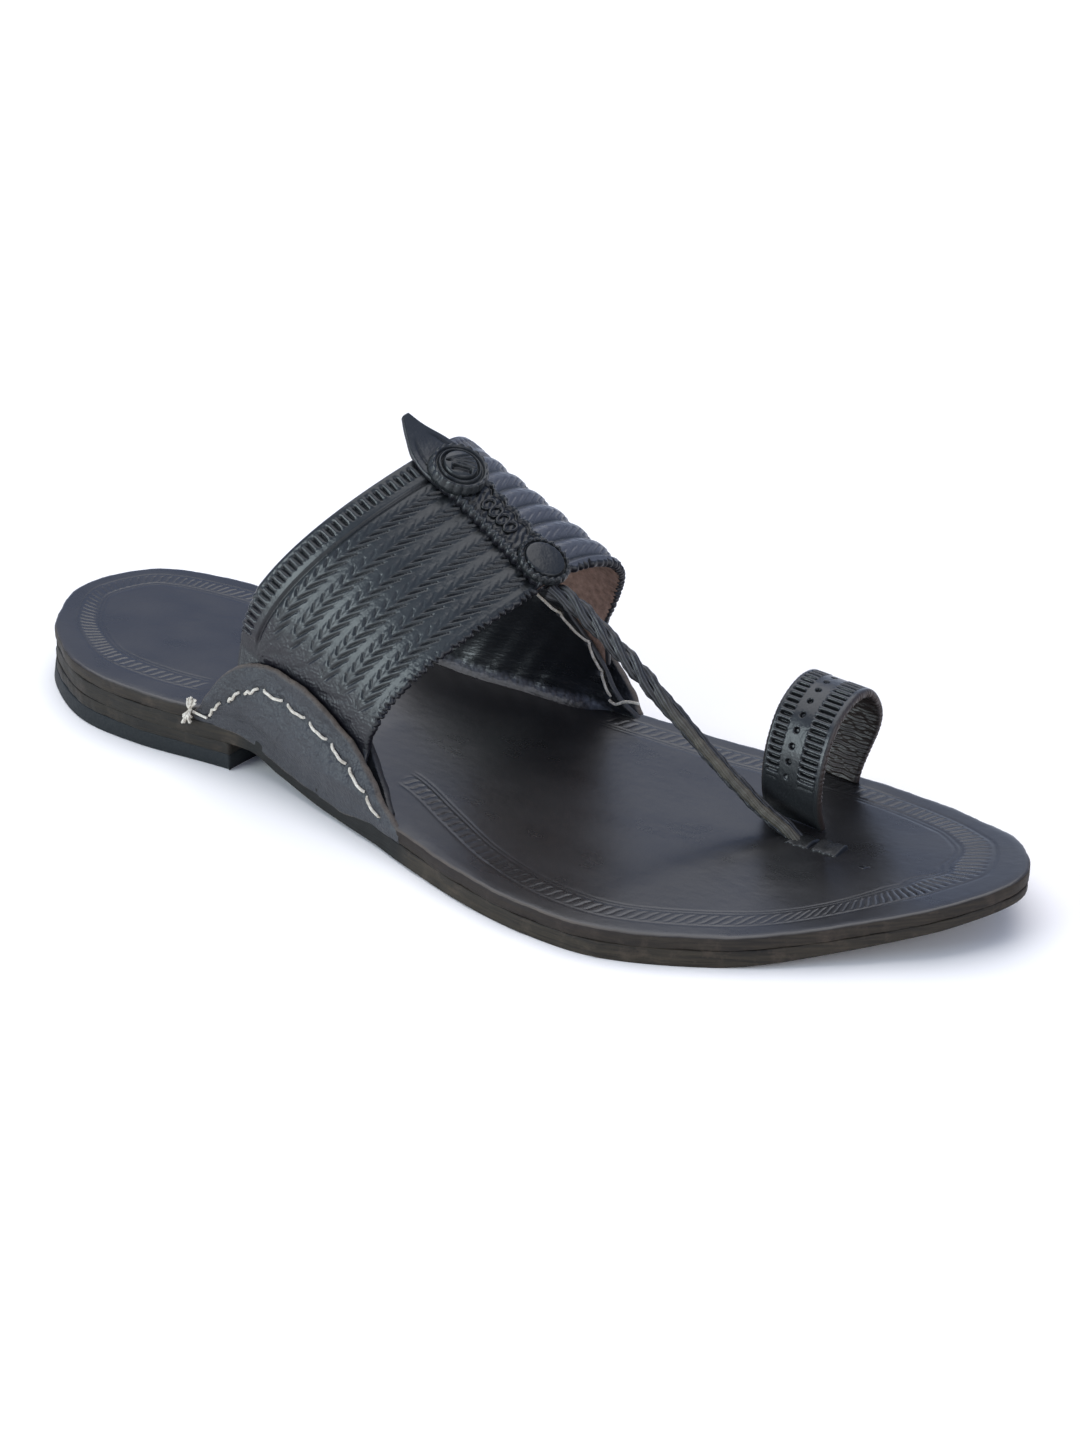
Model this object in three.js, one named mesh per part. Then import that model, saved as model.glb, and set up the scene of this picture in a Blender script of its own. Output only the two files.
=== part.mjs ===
// Kolhapuri sandal for the right foot: stacked leather sole with a low heel, an instep band
// held between sewn ears, a crest strip with two bosses, a braided thong and a toe ring.
// Millimetres. +X is the outer (lateral) side of the foot, +Y the toe, +Z up.
import * as THREE from 'three';

// Driving dimensions
const CLEARANCE = 0.3;
const INSOLE_THICKNESS = 3.3;
const HEEL_RUBBER_THICKNESS = 4.8;
const BAND_THICKNESS = 2.2;
const EAR_OUTER_THICKNESS = 2.0;
const EAR_INNER_THICKNESS = 1.8;
const CREST_THICKNESS = 1.8;
const RING_WIDTH = 16;
const RING_THICKNESS = 2.0;
const EDGE_ROUND = 0.6;

// Sole outline, a row for each cross section from heel to toe
const SOLE_SECTIONS = [
  { y: -137, medial: -35.7, lateral: 2.3 },
  { y: -127, medial: -41.3, lateral: 12.8 },
  { y: -111, medial: -44.0, lateral: 22.4 },
  { y: -91, medial: -44.2, lateral: 25.7 },
  { y: -51, medial: -43.8, lateral: 25.0 },
  { y: -11, medial: -47.6, lateral: 34.6 },
  { y: 29, medial: -48.6, lateral: 47.0 },
  { y: 49, medial: -49.0, lateral: 50.3 },
  { y: 69, medial: -50.1, lateral: 49.5 },
  { y: 99, medial: -49.2, lateral: 35.5 },
  { y: 127, medial: -38.2, lateral: 14.2 },
  { y: 138, medial: -30.2, lateral: 4.0 },
];
const HEEL_END = { x: -17.8, y: -144.8 };
const TOE_END = { x: -12.6, y: 146.4 };

// Underside and thickness of the outsole: level over the heel, arch at the waist, level tread,
// toe spring
const OUTSOLE_SECTIONS = [
  { y: -146, z: 8.1, thick: 4.5 },
  { y: -54, z: 8.1, thick: 4.5 },
  { y: -43, z: 4.7, thick: 5.2 },
  { y: -26, z: 1.6, thick: 5.6 },
  { y: -1, z: 0.6, thick: 5.4 },
  { y: 29, z: 0.2, thick: 4.8 },
  { y: 54, z: 0, thick: 4.5 },
  { y: 92, z: 0, thick: 4.5 },
  { y: 118, z: 3.9, thick: 3.4 },
  { y: 148, z: 11, thick: 2.3 },
];

// Front face of the heel, set further forward on the inner side, and how far the heel layers
// stay inside the sole outline at their rear and front: less than 0 where they flare out
const HEEL_BREAST = { lateral: -60, medial: -54 };
const HEEL_INSETS = {
  lift: { rear: -0.4, front: 0.5 },
  rubberTop: { rear: -0.7, front: 0.8 },
  rubberBottom: { rear: -1.3, front: 1.1 },
};

// Outer face of the instep band at its back and front edges: where it leaves the ears on the
// lateral and medial side, its crest, the fullness of each half arch and how the edge sweeps
const BAND_EDGES = {
  back: {
    lateral: { x: 21.3, y: -56.7, z: 37.0 },
    crest: { x: -21.5, y: -21.6, z: 83.4 },
    medial: { x: -45.8, y: -30.2, z: 38.2 },
    lateralFullness: 2.2,
    medialFullness: 2.4,
    sweep: 1.5,
    medialSwell: 0,
  },
  front: {
    lateral: { x: 28.6, y: -13.3, z: 22.2 },
    crest: { x: -16.4, y: 16.1, z: 61.4 },
    medial: { x: -46.8, y: 9.5, z: 32.0 },
    lateralFullness: 2.1,
    medialFullness: 2.5,
    sweep: 1.6,
    medialSwell: 4.5,
  },
};
const BAND_CROWN = 0.5;
const BAND_TUCK = 12;
const BAND_END_ABOVE_SOLE = 9;

// Top edges of the ear leaves, a row for each point from heel side to toe side
const EAR_EDGES = {
  lateral_outer: [
    { y: -72, z: 13.8 },
    { y: -69, z: 15.8 },
    { y: -65, z: 21.3 },
    { y: -60, z: 27.6 },
    { y: -54, z: 31.8 },
    { y: -45, z: 33.7 },
    { y: -34, z: 32.1 },
    { y: -20, z: 25.3 },
    { y: -8, z: 16.8 },
    { y: -1, z: 11.5 },
    { y: 4.5, z: 7.6 },
  ],
  lateral_inner: [
    { y: -68, z: 17 },
    { y: -62, z: 25 },
    { y: -54, z: 30 },
    { y: -44, z: 32 },
    { y: -33, z: 31.5 },
    { y: -18, z: 25 },
    { y: -7, z: 14.5 },
    { y: -1, z: 9.5 },
  ],
  medial_outer: [
    { y: -60, z: 14 },
    { y: -56, z: 23 },
    { y: -47, z: 35 },
    { y: -34, z: 42 },
    { y: -21, z: 42.5 },
    { y: -7, z: 37 },
    { y: 4, z: 28.5 },
    { y: 12, z: 18 },
    { y: 20, z: 8 },
  ],
  medial_inner: [
    { y: -57, z: 14 },
    { y: -53, z: 24 },
    { y: -45, z: 36 },
    { y: -32, z: 43.5 },
    { y: -19, z: 44.5 },
    { y: -4, z: 39.5 },
    { y: 3.5, z: 31.5 },
    { y: 9.5, z: 22.5 },
    { y: 14, z: 14.5 },
    { y: 21.5, z: 7.5 },
  ],
};
const EAR_BELLY = 1.8;
const EAR_LEAF_MIDDLE_INSET = 2.5;
const EAR_LEAF_SPACE = 0.25;
const EAR_LOWEST_RISE = 1.2;
const EAR_OPEN_BELOW_BAND = 1;
const EAR_BAND_PLAY = 0.7;

// Room for the ears in the sole: steps cut in the insole edge, and a narrow waist of the
// outsole over which the outer leaves hang
const EAR_STEP = { first: 2.9, second: 2.5, margin: 2, run: 3 };
const EAR_WAIST = { depth: 2.6, drop: 1.8, run: 12 };
const FLANK_REACH = { back: -0.4, front: 1.6 };

// Crest strip: distance along it from the band's back edge, half width, and lift off the band
const CREST_PLACE = THREE.MathUtils.degToRad(83);
const CREST_SECTIONS = [
  { along: -11.5, half: 0.5, lift: 3.2 },
  { along: -7, half: 2.7, lift: 1.6 },
  { along: -2, half: 5.3, lift: 0.4 },
  { along: 3, half: 6.4, lift: 0 },
  { along: 9, half: 6.0, lift: 0 },
  { along: 14, half: 5.4, lift: 0 },
  { along: 40, half: 5.2, lift: 0 },
  { along: 45, half: 5.0, lift: 0 },
];
const REAR_BOSS = { along: 8.8, length: 15.5, width: 15.5, height: 4.2 };
const FRONT_BOSS = { along: 40.5, length: 14, width: 13, height: 3.4 };

// Section of a boss, as shares of its half width and height
const BOSS_PROFILE = [
  { out: 0, up: 0 },
  { out: 1, up: 0 },
  { out: 1, up: 0.3 },
  { out: 0.86, up: 0.55 },
  { out: 0.7, up: 0.5 },
  { out: 0.62, up: 0.72 },
  { out: 0.36, up: 0.94 },
  { out: 0, up: 1 },
];

// Middle line of the thong from the band to the toe, with its section
const THONG_SECTIONS = [
  { x: -9.4, y: 16.4, z: 58.6, wide: 4.6, thick: 3.4 },
  { x: -10.6, y: 21, z: 56.6, wide: 4.8, thick: 4.4 },
  { x: -11.8, y: 32, z: 48.4, wide: 4.7, thick: 4.8 },
  { x: -12.4, y: 44, z: 38.6, wide: 4.6, thick: 4.6 },
  { x: -12.7, y: 55, z: 29.2, wide: 4.5, thick: 4.2 },
  { x: -12.8, y: 66, z: 20.4, wide: 4.2, thick: 3.6 },
  { x: -12.8, y: 77, z: 13.0, wide: 4.0, thick: 3.4 },
  { x: -12.9, y: 84, z: 10.0, wide: 3.8, thick: 3.2 },
];

// Outer line of the toe ring seen from the toe, from its near foot to its far foot, with how
// far the ring leans to the toe for each millimetre of height and turns to the side over its width,
// and how far its far foot is set back from the near one
const RING_FRONT = 89;
const RING_LEAN = 0.06;
const RING_TURN = 0.14;
const RING_SWEEP = 4.8;
const RING_LINE = [
  { x: -19.5, z: 8.2 },
  { x: -16.6, z: 14 },
  { x: -15.4, z: 21 },
  { x: -16.4, z: 29 },
  { x: -21.0, z: 37 },
  { x: -29.5, z: 40.8 },
  { x: -38.0, z: 39.6 },
  { x: -44.6, z: 33.4 },
  { x: -47.8, z: 25 },
  { x: -48.4, z: 16 },
  { x: -47.4, z: 8.2 },
];
const TOE_TIE = { x: -12.3, back: 91.5, front: 100, half: 2.6, height: 1.5, edge: 0.4 };

// Steps that set how finely the curved forms are divided
const OUTLINE_STEPS = 9;
const HEEL_STEPS = 26;
const BAND_ARCH_STEPS = 44;
const BAND_TUCK_STEPS = 3;
const BAND_ACROSS_STEPS = 5;
const EAR_STEPS = { along: 26, up: 6 };
const CREST_STEPS = { along: 30, across: 4 };
const THONG_STEPS = { along: 34, around: 10 };
const RING_STEPS = { along: 34, across: 3 };
const BOSS_SIDES = 24;
const TIE_STEPS = 10;

// Finishes
const BLACK_LEATHER = { color: 0x33363d, roughness: 0.5, metalness: 0 };
const SOLE_LEATHER = { color: 0x35332f, roughness: 0.6, metalness: 0 };
const HEEL_RUBBER = { color: 0x22262b, roughness: 0.75, metalness: 0 };

const SIDE_SIGN = { lateral: 1, medial: -1 };
const { lerp, clamp, smoothstep } = THREE.MathUtils;

// Smooth curve through table rows that never overshoots them
function tableCurve(rows, key, value) {
  const slopes = rows.slice(1).map((row, i) => {
    const last = rows[i];
    return (row[value] - last[value]) / (row[key] - last[key]);
  });
  const tangents = rows.map((row, i) => {
    const before = slopes[Math.max(i - 1, 0)];
    const after = slopes[Math.min(i, slopes.length - 1)];
    return before * after <= 0 ? 0 : (2 * before * after) / (before + after);
  });
  return (at) => {
    const inside = clamp(at, rows[0][key], rows[rows.length - 1][key]);
    const next = Math.max(1, rows.findIndex((row) => row[key] >= inside));
    const [from, to] = [rows[next - 1], rows[next]];
    const span = to[key] - from[key];
    const t = (inside - from[key]) / span;
    const rise = from[value] + t * t * (3 - 2 * t) * (to[value] - from[value]);
    const start = t * (1 - t) * (1 - t) * span * tangents[next - 1];
    const end = t * t * (t - 1) * span * tangents[next];
    return rise + start + end;
  };
}

// Indexed faces to a geometry, turned so that they point outwards
function closedGeometry(points, faces) {
  const volume = faces.reduce((sum, [a, b, c]) => {
    const cross = new THREE.Vector3().crossVectors(points[b], points[c]);
    return sum + points[a].dot(cross);
  }, 0);
  const index = faces.flatMap(([a, b, c]) => (volume < 0 ? [a, c, b] : [a, b, c]));
  const geometry = new THREE.BufferGeometry().setFromPoints(points);
  geometry.setIndex(index);
  geometry.computeVertexNormals();
  return geometry;
}

function quad(faces, a, b, c, d) {
  faces.push([a, b, c], [a, c, d]);
}

// Solid between two grids of points of the same size, such as a strap's two faces
function sheetSolid(outer, inner) {
  const rows = outer.length;
  const columns = outer[0].length;
  const points = [...outer.flat(), ...inner.flat()];
  const top = (i, j) => i * columns + j;
  const under = (i, j) => rows * columns + top(i, j);
  const faces = [];
  for (let i = 0; i < rows - 1; i += 1) {
    for (let j = 0; j < columns - 1; j += 1) {
      quad(faces, top(i, j), top(i + 1, j), top(i + 1, j + 1), top(i, j + 1));
      quad(faces, under(i, j), under(i, j + 1), under(i + 1, j + 1), under(i + 1, j));
    }
    quad(faces, top(i, 0), under(i, 0), under(i + 1, 0), top(i + 1, 0));
    const last = columns - 1;
    quad(faces, top(i, last), top(i + 1, last), under(i + 1, last), under(i, last));
  }
  for (let j = 0; j < columns - 1; j += 1) {
    quad(faces, top(0, j), top(0, j + 1), under(0, j + 1), under(0, j));
    const last = rows - 1;
    quad(faces, top(last, j), under(last, j), under(last, j + 1), top(last, j + 1));
  }
  return closedGeometry(points, faces);
}

// Outline of the sole as pairs of side points from heel to toe
const outlineCurve = new THREE.CatmullRomCurve3(
  [
    HEEL_END,
    ...SOLE_SECTIONS.map(({ lateral, y }) => ({ x: lateral, y })),
    TOE_END,
    ...SOLE_SECTIONS.map(({ medial, y }) => ({ x: medial, y })).reverse(),
  ].map(({ x, y }) => new THREE.Vector3(x, y, 0)),
  true,
);
const HALF_TURN = 0.5;

function outlinePoint(side, t) {
  return outlineCurve.getPoint(side === 'lateral' ? t * HALF_TURN : 1 - t * HALF_TURN);
}

// Place along one side of the outline where it reaches the given y
function outlineAt(side, y) {
  let [low, high] = [0, 1];
  const halvings = 30;
  for (let i = 0; i < halvings; i += 1) {
    const middle = (low + high) / 2;
    if (outlinePoint(side, middle).y < y) low = middle;
    else high = middle;
  }
  return low;
}

function outlineX(side, y) {
  return outlinePoint(side, outlineAt(side, y)).x;
}

// Side points of the whole sole, or of its heel end as far as a front face
function solePairs() {
  const steps = OUTLINE_STEPS * (SOLE_SECTIONS.length + 1);
  const side = (name) => Array.from({ length: steps + 1 }, (_, i) => outlinePoint(name, i / steps));
  return { lateral: side('lateral'), medial: side('medial') };
}

function heelPairs() {
  const side = (name) => {
    const end = outlineAt(name, HEEL_BREAST[name]);
    return Array.from({ length: HEEL_STEPS + 1 }, (_, i) => outlinePoint(name, (end * i) / HEEL_STEPS));
  };
  return { lateral: side('lateral'), medial: side('medial') };
}

// Plate stacked from rings that follow a pair of sides, each with an inset and a height
function plateSolid(pairs, rings) {
  const last = pairs.lateral.length - 1;
  const pointed = pairs.lateral[last].distanceTo(pairs.medial[last]) < EDGE_ROUND;
  const loop = pairs.lateral.map((point) => ({ point, side: 'lateral' }));
  for (let i = pointed ? last - 1 : last; i > 0; i -= 1) {
    loop.push({ point: pairs.medial[i], side: 'medial' });
  }
  const count = loop.length;
  const points = [];
  rings.forEach(({ inset, height }) => {
    loop.forEach(({ point, side }, i) => {
      const before = loop[(i + count - 1) % count].point;
      const after = loop[(i + 1) % count].point;
      const outward = new THREE.Vector3(after.y - before.y, before.x - after.x, 0).normalize();
      const depth = inset(side, point.y);
      const moved = point.clone().addScaledVector(outward, -depth);
      points.push(new THREE.Vector3(moved.x, moved.y, height(moved.y)));
    });
  });
  const faces = [];
  for (let ring = 0; ring < rings.length - 1; ring += 1) {
    for (let i = 0; i < count; i += 1) {
      const here = ring * count + i;
      const beside = ring * count + ((i + 1) % count);
      quad(faces, here, beside, beside + count, here + count);
    }
  }
  const medialIndex = (i) => (i === 0 || (pointed && i === last) ? i : count - i);
  const topRing = (rings.length - 1) * count;
  for (let i = 0; i < last; i += 1) {
    const corners = [i, i + 1, medialIndex(i + 1), medialIndex(i)];
    const distinct = corners.filter((corner, k) => corners.indexOf(corner) === k);
    for (let k = 1; k < distinct.length - 1; k += 1) {
      const [a, b, c] = [distinct[0], distinct[k], distinct[k + 1]];
      faces.push([topRing + a, topRing + b, topRing + c], [a, c, b]);
    }
  }
  return closedGeometry(points, faces);
}

// Heights of the sole layers
const outsoleBottom = tableCurve(OUTSOLE_SECTIONS, 'y', 'z');
const outsoleThickness = tableCurve(OUTSOLE_SECTIONS, 'y', 'thick');
const outsoleTop = (y) => outsoleBottom(y) + outsoleThickness(y);
const insoleBottom = (y) => outsoleTop(y) + CLEARANCE;
const insoleTop = (y) => insoleBottom(y) + INSOLE_THICKNESS;

// Smooth window that is 1 between two places and falls to 0 over a run outside them
function windowOver(at, back, front, run) {
  return Math.min(smoothstep(at, back - run, back), 1 - smoothstep(at, front, front + run));
}

// Ends of an ear leaf along the sole
function earSpan(side, layer) {
  const rows = EAR_EDGES[`${side}_${layer}`];
  return { back: rows[0].y, front: rows[rows.length - 1].y };
}

// Insole edge steps in where the ears come up beside it
function earNotch(side, y) {
  const [outer, inner] = [earSpan(side, 'outer'), earSpan(side, 'inner')];
  const { first, second, margin, run } = EAR_STEP;
  const widest = [Math.min(outer.back, inner.back), Math.max(outer.front, inner.front)];
  return first * windowOver(y, widest[0] - margin, widest[1] + margin, run)
    + second * windowOver(y, inner.back - margin, inner.front + margin, run);
}

// Outsole edge draws in at the waist, so that the outer leaves can hang over it
function earWaist(side, y) {
  const { back, front } = earSpan(side, 'outer');
  const { depth, run } = EAR_WAIST;
  return depth * windowOver(y, back + run, front - run, run);
}

function earDrop(side, y) {
  const { back, front } = earSpan(side, 'outer');
  const { drop, run } = EAR_WAIST;
  return drop * windowOver(y, back + 2 * run, front - 2 * run, run);
}

function outsole() {
  return plateSolid(solePairs(), [
    { inset: (side, y) => earWaist(side, y) + EDGE_ROUND, height: outsoleBottom },
    { inset: earWaist, height: (y) => outsoleBottom(y) + EDGE_ROUND },
    { inset: earWaist, height: outsoleTop },
  ]);
}

function insole() {
  return plateSolid(solePairs(), [
    { inset: earNotch, height: insoleBottom },
    { inset: earNotch, height: (y) => insoleTop(y) - EDGE_ROUND },
    { inset: (side, y) => earNotch(side, y) + EDGE_ROUND, height: insoleTop },
  ]);
}

function heelInset({ rear, front }) {
  return (side, y) => lerp(rear, front, smoothstep(y, HEEL_END.y, HEEL_BREAST[side]));
}

function heelLift() {
  const inset = heelInset(HEEL_INSETS.lift);
  return plateSolid(heelPairs(), [
    { inset, height: () => HEEL_RUBBER_THICKNESS + CLEARANCE },
    { inset, height: (y) => outsoleBottom(y) - CLEARANCE },
  ]);
}

function heelRubber() {
  return plateSolid(heelPairs(), [
    { inset: heelInset(HEEL_INSETS.rubberBottom), height: () => 0 },
    { inset: heelInset(HEEL_INSETS.rubberTop), height: () => HEEL_RUBBER_THICKNESS },
  ]);
}

// Middle surface of an ear and of the band's end inside it, as x over y and z
function flankX(side, y, z) {
  const [back, front] = [BAND_EDGES.back[side], BAND_EDGES.front[side]];
  const along = clamp((y - back.y) / (front.y - back.y), FLANK_REACH.back, FLANK_REACH.front);
  const base = outsoleTop(y);
  const wall = lerp(back.x, front.x, along) - (SIDE_SIGN[side] * BAND_THICKNESS) / 2;
  const wallHeight = Math.max(lerp(back.z, front.z, along), base + BAND_END_ABOVE_SOLE);
  const foot = outlineX(side, y) - SIDE_SIGN[side] * EAR_LEAF_MIDDLE_INSET;
  const rise = clamp((z - base) / (wallHeight - base), 0, 1);
  const belly = SIDE_SIGN[side] * EAR_BELLY * Math.sin(Math.PI * rise);
  return lerp(foot, wall, smoothstep(rise, 0, 1)) + belly;
}

// One leaf of an ear, on the outer or inner side of the band's end
function earLeaf(side, layer) {
  const rows = EAR_EDGES[`${side}_${layer}`];
  const edge = tableCurve(rows, 'y', 'z');
  const [back, front] = [rows[0].y, rows[rows.length - 1].y];
  const thickness = layer === 'outer' ? EAR_OUTER_THICKNESS : EAR_INNER_THICKNESS;
  const away = layer === 'outer' ? SIDE_SIGN[side] : -SIDE_SIGN[side];
  const bandSpace = BAND_THICKNESS / 2 + EAR_BAND_PLAY;
  const openAbove = BAND_END_ABOVE_SOLE - EAR_OPEN_BELOW_BAND;
  const near = [];
  const far = [];
  for (let i = 0; i <= EAR_STEPS.along; i += 1) {
    const y = lerp(back, front, (1 - Math.cos((Math.PI * i) / EAR_STEPS.along)) / 2);
    const base = outsoleTop(y);
    const low = base + CLEARANCE - (layer === 'outer' ? earDrop(side, y) : 0);
    const high = Math.max(edge(y), base + CLEARANCE + EAR_LOWEST_RISE);
    near.push([]);
    far.push([]);
    for (let j = 0; j <= EAR_STEPS.up; j += 1) {
      const z = lerp(low, high, j / EAR_STEPS.up);
      const opening = smoothstep(z, base + INSOLE_THICKNESS, base + openAbove);
      const space = lerp(EAR_LEAF_SPACE, bandSpace, opening);
      const middle = flankX(side, y, z);
      near[i].push(new THREE.Vector3(middle + away * space, y, z));
      far[i].push(new THREE.Vector3(middle + away * (space + thickness), y, z));
    }
  }
  return sheetSolid(far, near);
}

// Point of a band edge at an angle round its arch, from 0 (lateral) to a half turn (medial)
function bandEdge(edge, angle) {
  const lateralHalf = angle <= Math.PI / 2;
  const foot = lateralHalf ? edge.lateral : edge.medial;
  const power = 2 / (lateralHalf ? edge.lateralFullness : edge.medialFullness);
  const out = Math.abs(Math.cos(angle)) ** power;
  const up = Math.sin(angle) ** power;
  const swell = lateralHalf ? 0 : edge.medialSwell * Math.sin(2 * angle - Math.PI);
  return new THREE.Vector3(
    lerp(edge.crest.x, foot.x, out),
    lerp(foot.y, edge.crest.y, up ** edge.sweep) + swell,
    lerp(foot.z, edge.crest.z, up),
  );
}

// Outer face of the band, across from its back edge (0) to its front edge (1)
function bandFace(angle, across) {
  const onBack = bandEdge(BAND_EDGES.back, angle);
  const onFront = bandEdge(BAND_EDGES.front, angle);
  const face = onBack.lerp(onFront, across);
  const middleWeight = Math.max(0, 4 * across * (1 - across));
  face.z += BAND_CROWN * middleWeight * Math.sin(angle);
  return face;
}

// Outward direction of the band's face
function bandNormal(angle, across) {
  const step = 0.01;
  const round = bandFace(angle + step, across).sub(bandFace(angle - step, across));
  const over = bandFace(angle, across + step).sub(bandFace(angle, across - step));
  return over.cross(round).normalize();
}

// End of the band between the leaves of an ear, straight down from where the arch begins
function bandTuck(side, across, depth) {
  const foot = bandFace(side === 'lateral' ? 0 : Math.PI, across);
  const lowest = Math.max(foot.z - BAND_TUCK, outsoleTop(foot.y) + BAND_END_ABOVE_SOLE);
  const z = lerp(foot.z, lowest, depth);
  return new THREE.Vector3(flankX(side, foot.y, z), foot.y, z);
}

function instepBand() {
  const outer = [];
  const inner = [];
  const half = BAND_THICKNESS / 2;
  const places = Array.from({ length: BAND_ACROSS_STEPS + 1 }, (_, j) => j / BAND_ACROSS_STEPS);
  const addTuckRow = (side, depth) => {
    const row = places.map((across) => bandTuck(side, across, depth));
    const shifted = (shift) => row.map((p) => p.clone().setX(p.x + SIDE_SIGN[side] * shift));
    outer.push(shifted(half));
    inner.push(shifted(-half));
  };
  for (let i = BAND_TUCK_STEPS; i > 0; i -= 1) addTuckRow('lateral', i / BAND_TUCK_STEPS);
  for (let i = 1; i < BAND_ARCH_STEPS; i += 1) {
    const angle = (Math.PI * i) / BAND_ARCH_STEPS;
    outer.push(places.map((across) => bandFace(angle, across)));
    inner.push(places.map((across) =>
      bandFace(angle, across).addScaledVector(bandNormal(angle, across), -BAND_THICKNESS)));
  }
  for (let i = 1; i <= BAND_TUCK_STEPS; i += 1) addTuckRow('medial', i / BAND_TUCK_STEPS);
  return sheetSolid(outer, inner);
}

// Place on the crest line at a distance in front of the band's back edge
function crestAcross(along) {
  const length = bandFace(CREST_PLACE, 0).distanceTo(bandFace(CREST_PLACE, 1));
  return along / length;
}

// Length round the arch at the crest for each radian
function crestRadius(across) {
  const turn = 0.05;
  const [before, after] = [CREST_PLACE - turn, CREST_PLACE + turn];
  return bandFace(before, across).distanceTo(bandFace(after, across)) / (after - before);
}

function crestStrip() {
  const half = tableCurve(CREST_SECTIONS, 'along', 'half');
  const lift = tableCurve(CREST_SECTIONS, 'along', 'lift');
  const [back, front] = [CREST_SECTIONS[0].along, CREST_SECTIONS[CREST_SECTIONS.length - 1].along];
  const top = [];
  const under = [];
  for (let i = 0; i <= CREST_STEPS.along; i += 1) {
    const along = lerp(back, front, i / CREST_STEPS.along);
    const across = crestAcross(along);
    top.push([]);
    under.push([]);
    for (let j = 0; j <= CREST_STEPS.across; j += 1) {
      const sideways = half(along) * (1 - (2 * j) / CREST_STEPS.across);
      const angle = CREST_PLACE + sideways / crestRadius(across);
      const face = bandFace(angle, across);
      const normal = bandNormal(angle, across);
      const height = CLEARANCE + lift(along);
      under[i].push(face.clone().addScaledVector(normal, height));
      top[i].push(face.clone().addScaledVector(normal, height + CREST_THICKNESS));
    }
  }
  return sheetSolid(top, under);
}

// Domed boss with a rolled rim, turned on its own axis
function bossGeometry({ length, width, height }) {
  const points = BOSS_PROFILE.map(({ out, up }) => new THREE.Vector2((out * width) / 2, up * height));
  return new THREE.LatheGeometry(points, BOSS_SIDES).scale(1, 1, length / width);
}

// Seat of a boss on the crest strip: its place and directions
function seatOnCrest(mesh, along) {
  const across = crestAcross(along);
  const normal = bandNormal(CREST_PLACE, across);
  const forward = bandFace(CREST_PLACE, 1).sub(bandFace(CREST_PLACE, 0)).normalize();
  const sideways = normal.clone().cross(forward).normalize();
  const onward = sideways.clone().cross(normal);
  const height = 2 * CLEARANCE + CREST_THICKNESS;
  mesh.quaternion.setFromRotationMatrix(new THREE.Matrix4().makeBasis(sideways, normal, onward));
  mesh.position.copy(bandFace(CREST_PLACE, across)).addScaledVector(normal, height);
  return mesh;
}

// Thong of oval section along its middle line
function thong() {
  const centres = THONG_SECTIONS.map(({ x, y, z }) => new THREE.Vector3(x, y, z));
  const line = new THREE.CatmullRomCurve3(centres);
  const spans = THONG_SECTIONS.length - 1;
  const rows = THONG_SECTIONS.map((section, i) => ({ ...section, at: i / spans }));
  const wide = tableCurve(rows, 'at', 'wide');
  const thick = tableCurve(rows, 'at', 'thick');
  const points = [];
  const faces = [];
  const { along, around } = THONG_STEPS;
  for (let i = 0; i <= along; i += 1) {
    const t = i / along;
    const centre = line.getPoint(t);
    const tangent = line.getTangent(t);
    const side = new THREE.Vector3(1, 0, 0).addScaledVector(tangent, -tangent.x).normalize();
    const up = side.clone().cross(tangent);
    for (let j = 0; j < around; j += 1) {
      const angle = (2 * Math.PI * j) / around;
      const point = centre.clone().addScaledVector(side, (Math.cos(angle) * wide(t)) / 2);
      points.push(point.addScaledVector(up, (Math.sin(angle) * thick(t)) / 2));
    }
  }
  for (let i = 0; i < along; i += 1) {
    for (let j = 0; j < around; j += 1) {
      const [here, beside] = [i * around + j, i * around + ((j + 1) % around)];
      quad(faces, here, beside, beside + around, here + around);
    }
  }
  const lastRing = along * around;
  for (let j = 1; j < around - 1; j += 1) {
    faces.push([0, j + 1, j], [lastRing, lastRing + j, lastRing + j + 1]);
  }
  return closedGeometry(points, faces);
}

// Toe ring: a strap bent into a loop, both feet on the insole
function toeRing() {
  const line = new THREE.CatmullRomCurve3(RING_LINE.map(({ x, z }) => new THREE.Vector3(x, 0, z)));
  const outer = [];
  const inner = [];
  const { along, across } = RING_STEPS;
  for (let i = 0; i <= along; i += 1) {
    const t = i / along;
    const point = line.getPoint(t);
    const tangent = line.getTangent(t);
    const inward = new THREE.Vector3(-tangent.z, 0, tangent.x);
    const front = RING_FRONT - RING_SWEEP * smoothstep(t, 0.72, 1);
    outer.push([]);
    inner.push([]);
    for (let j = 0; j <= across; j += 1) {
      const behind = RING_WIDTH * (1 - j / across);
      const y = front - behind + RING_LEAN * (point.z - RING_LINE[0].z);
      const floor = insoleTop(y) + CLEARANCE;
      const onOuter = new THREE.Vector3(point.x - RING_TURN * behind, y, point.z);
      const onInner = onOuter.clone().addScaledVector(inward, RING_THICKNESS);
      outer[i].push(onOuter.setZ(Math.max(onOuter.z, floor)));
      inner[i].push(onInner.setZ(Math.max(onInner.z, floor)));
    }
  }
  return sheetSolid(outer, inner);
}

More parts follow.
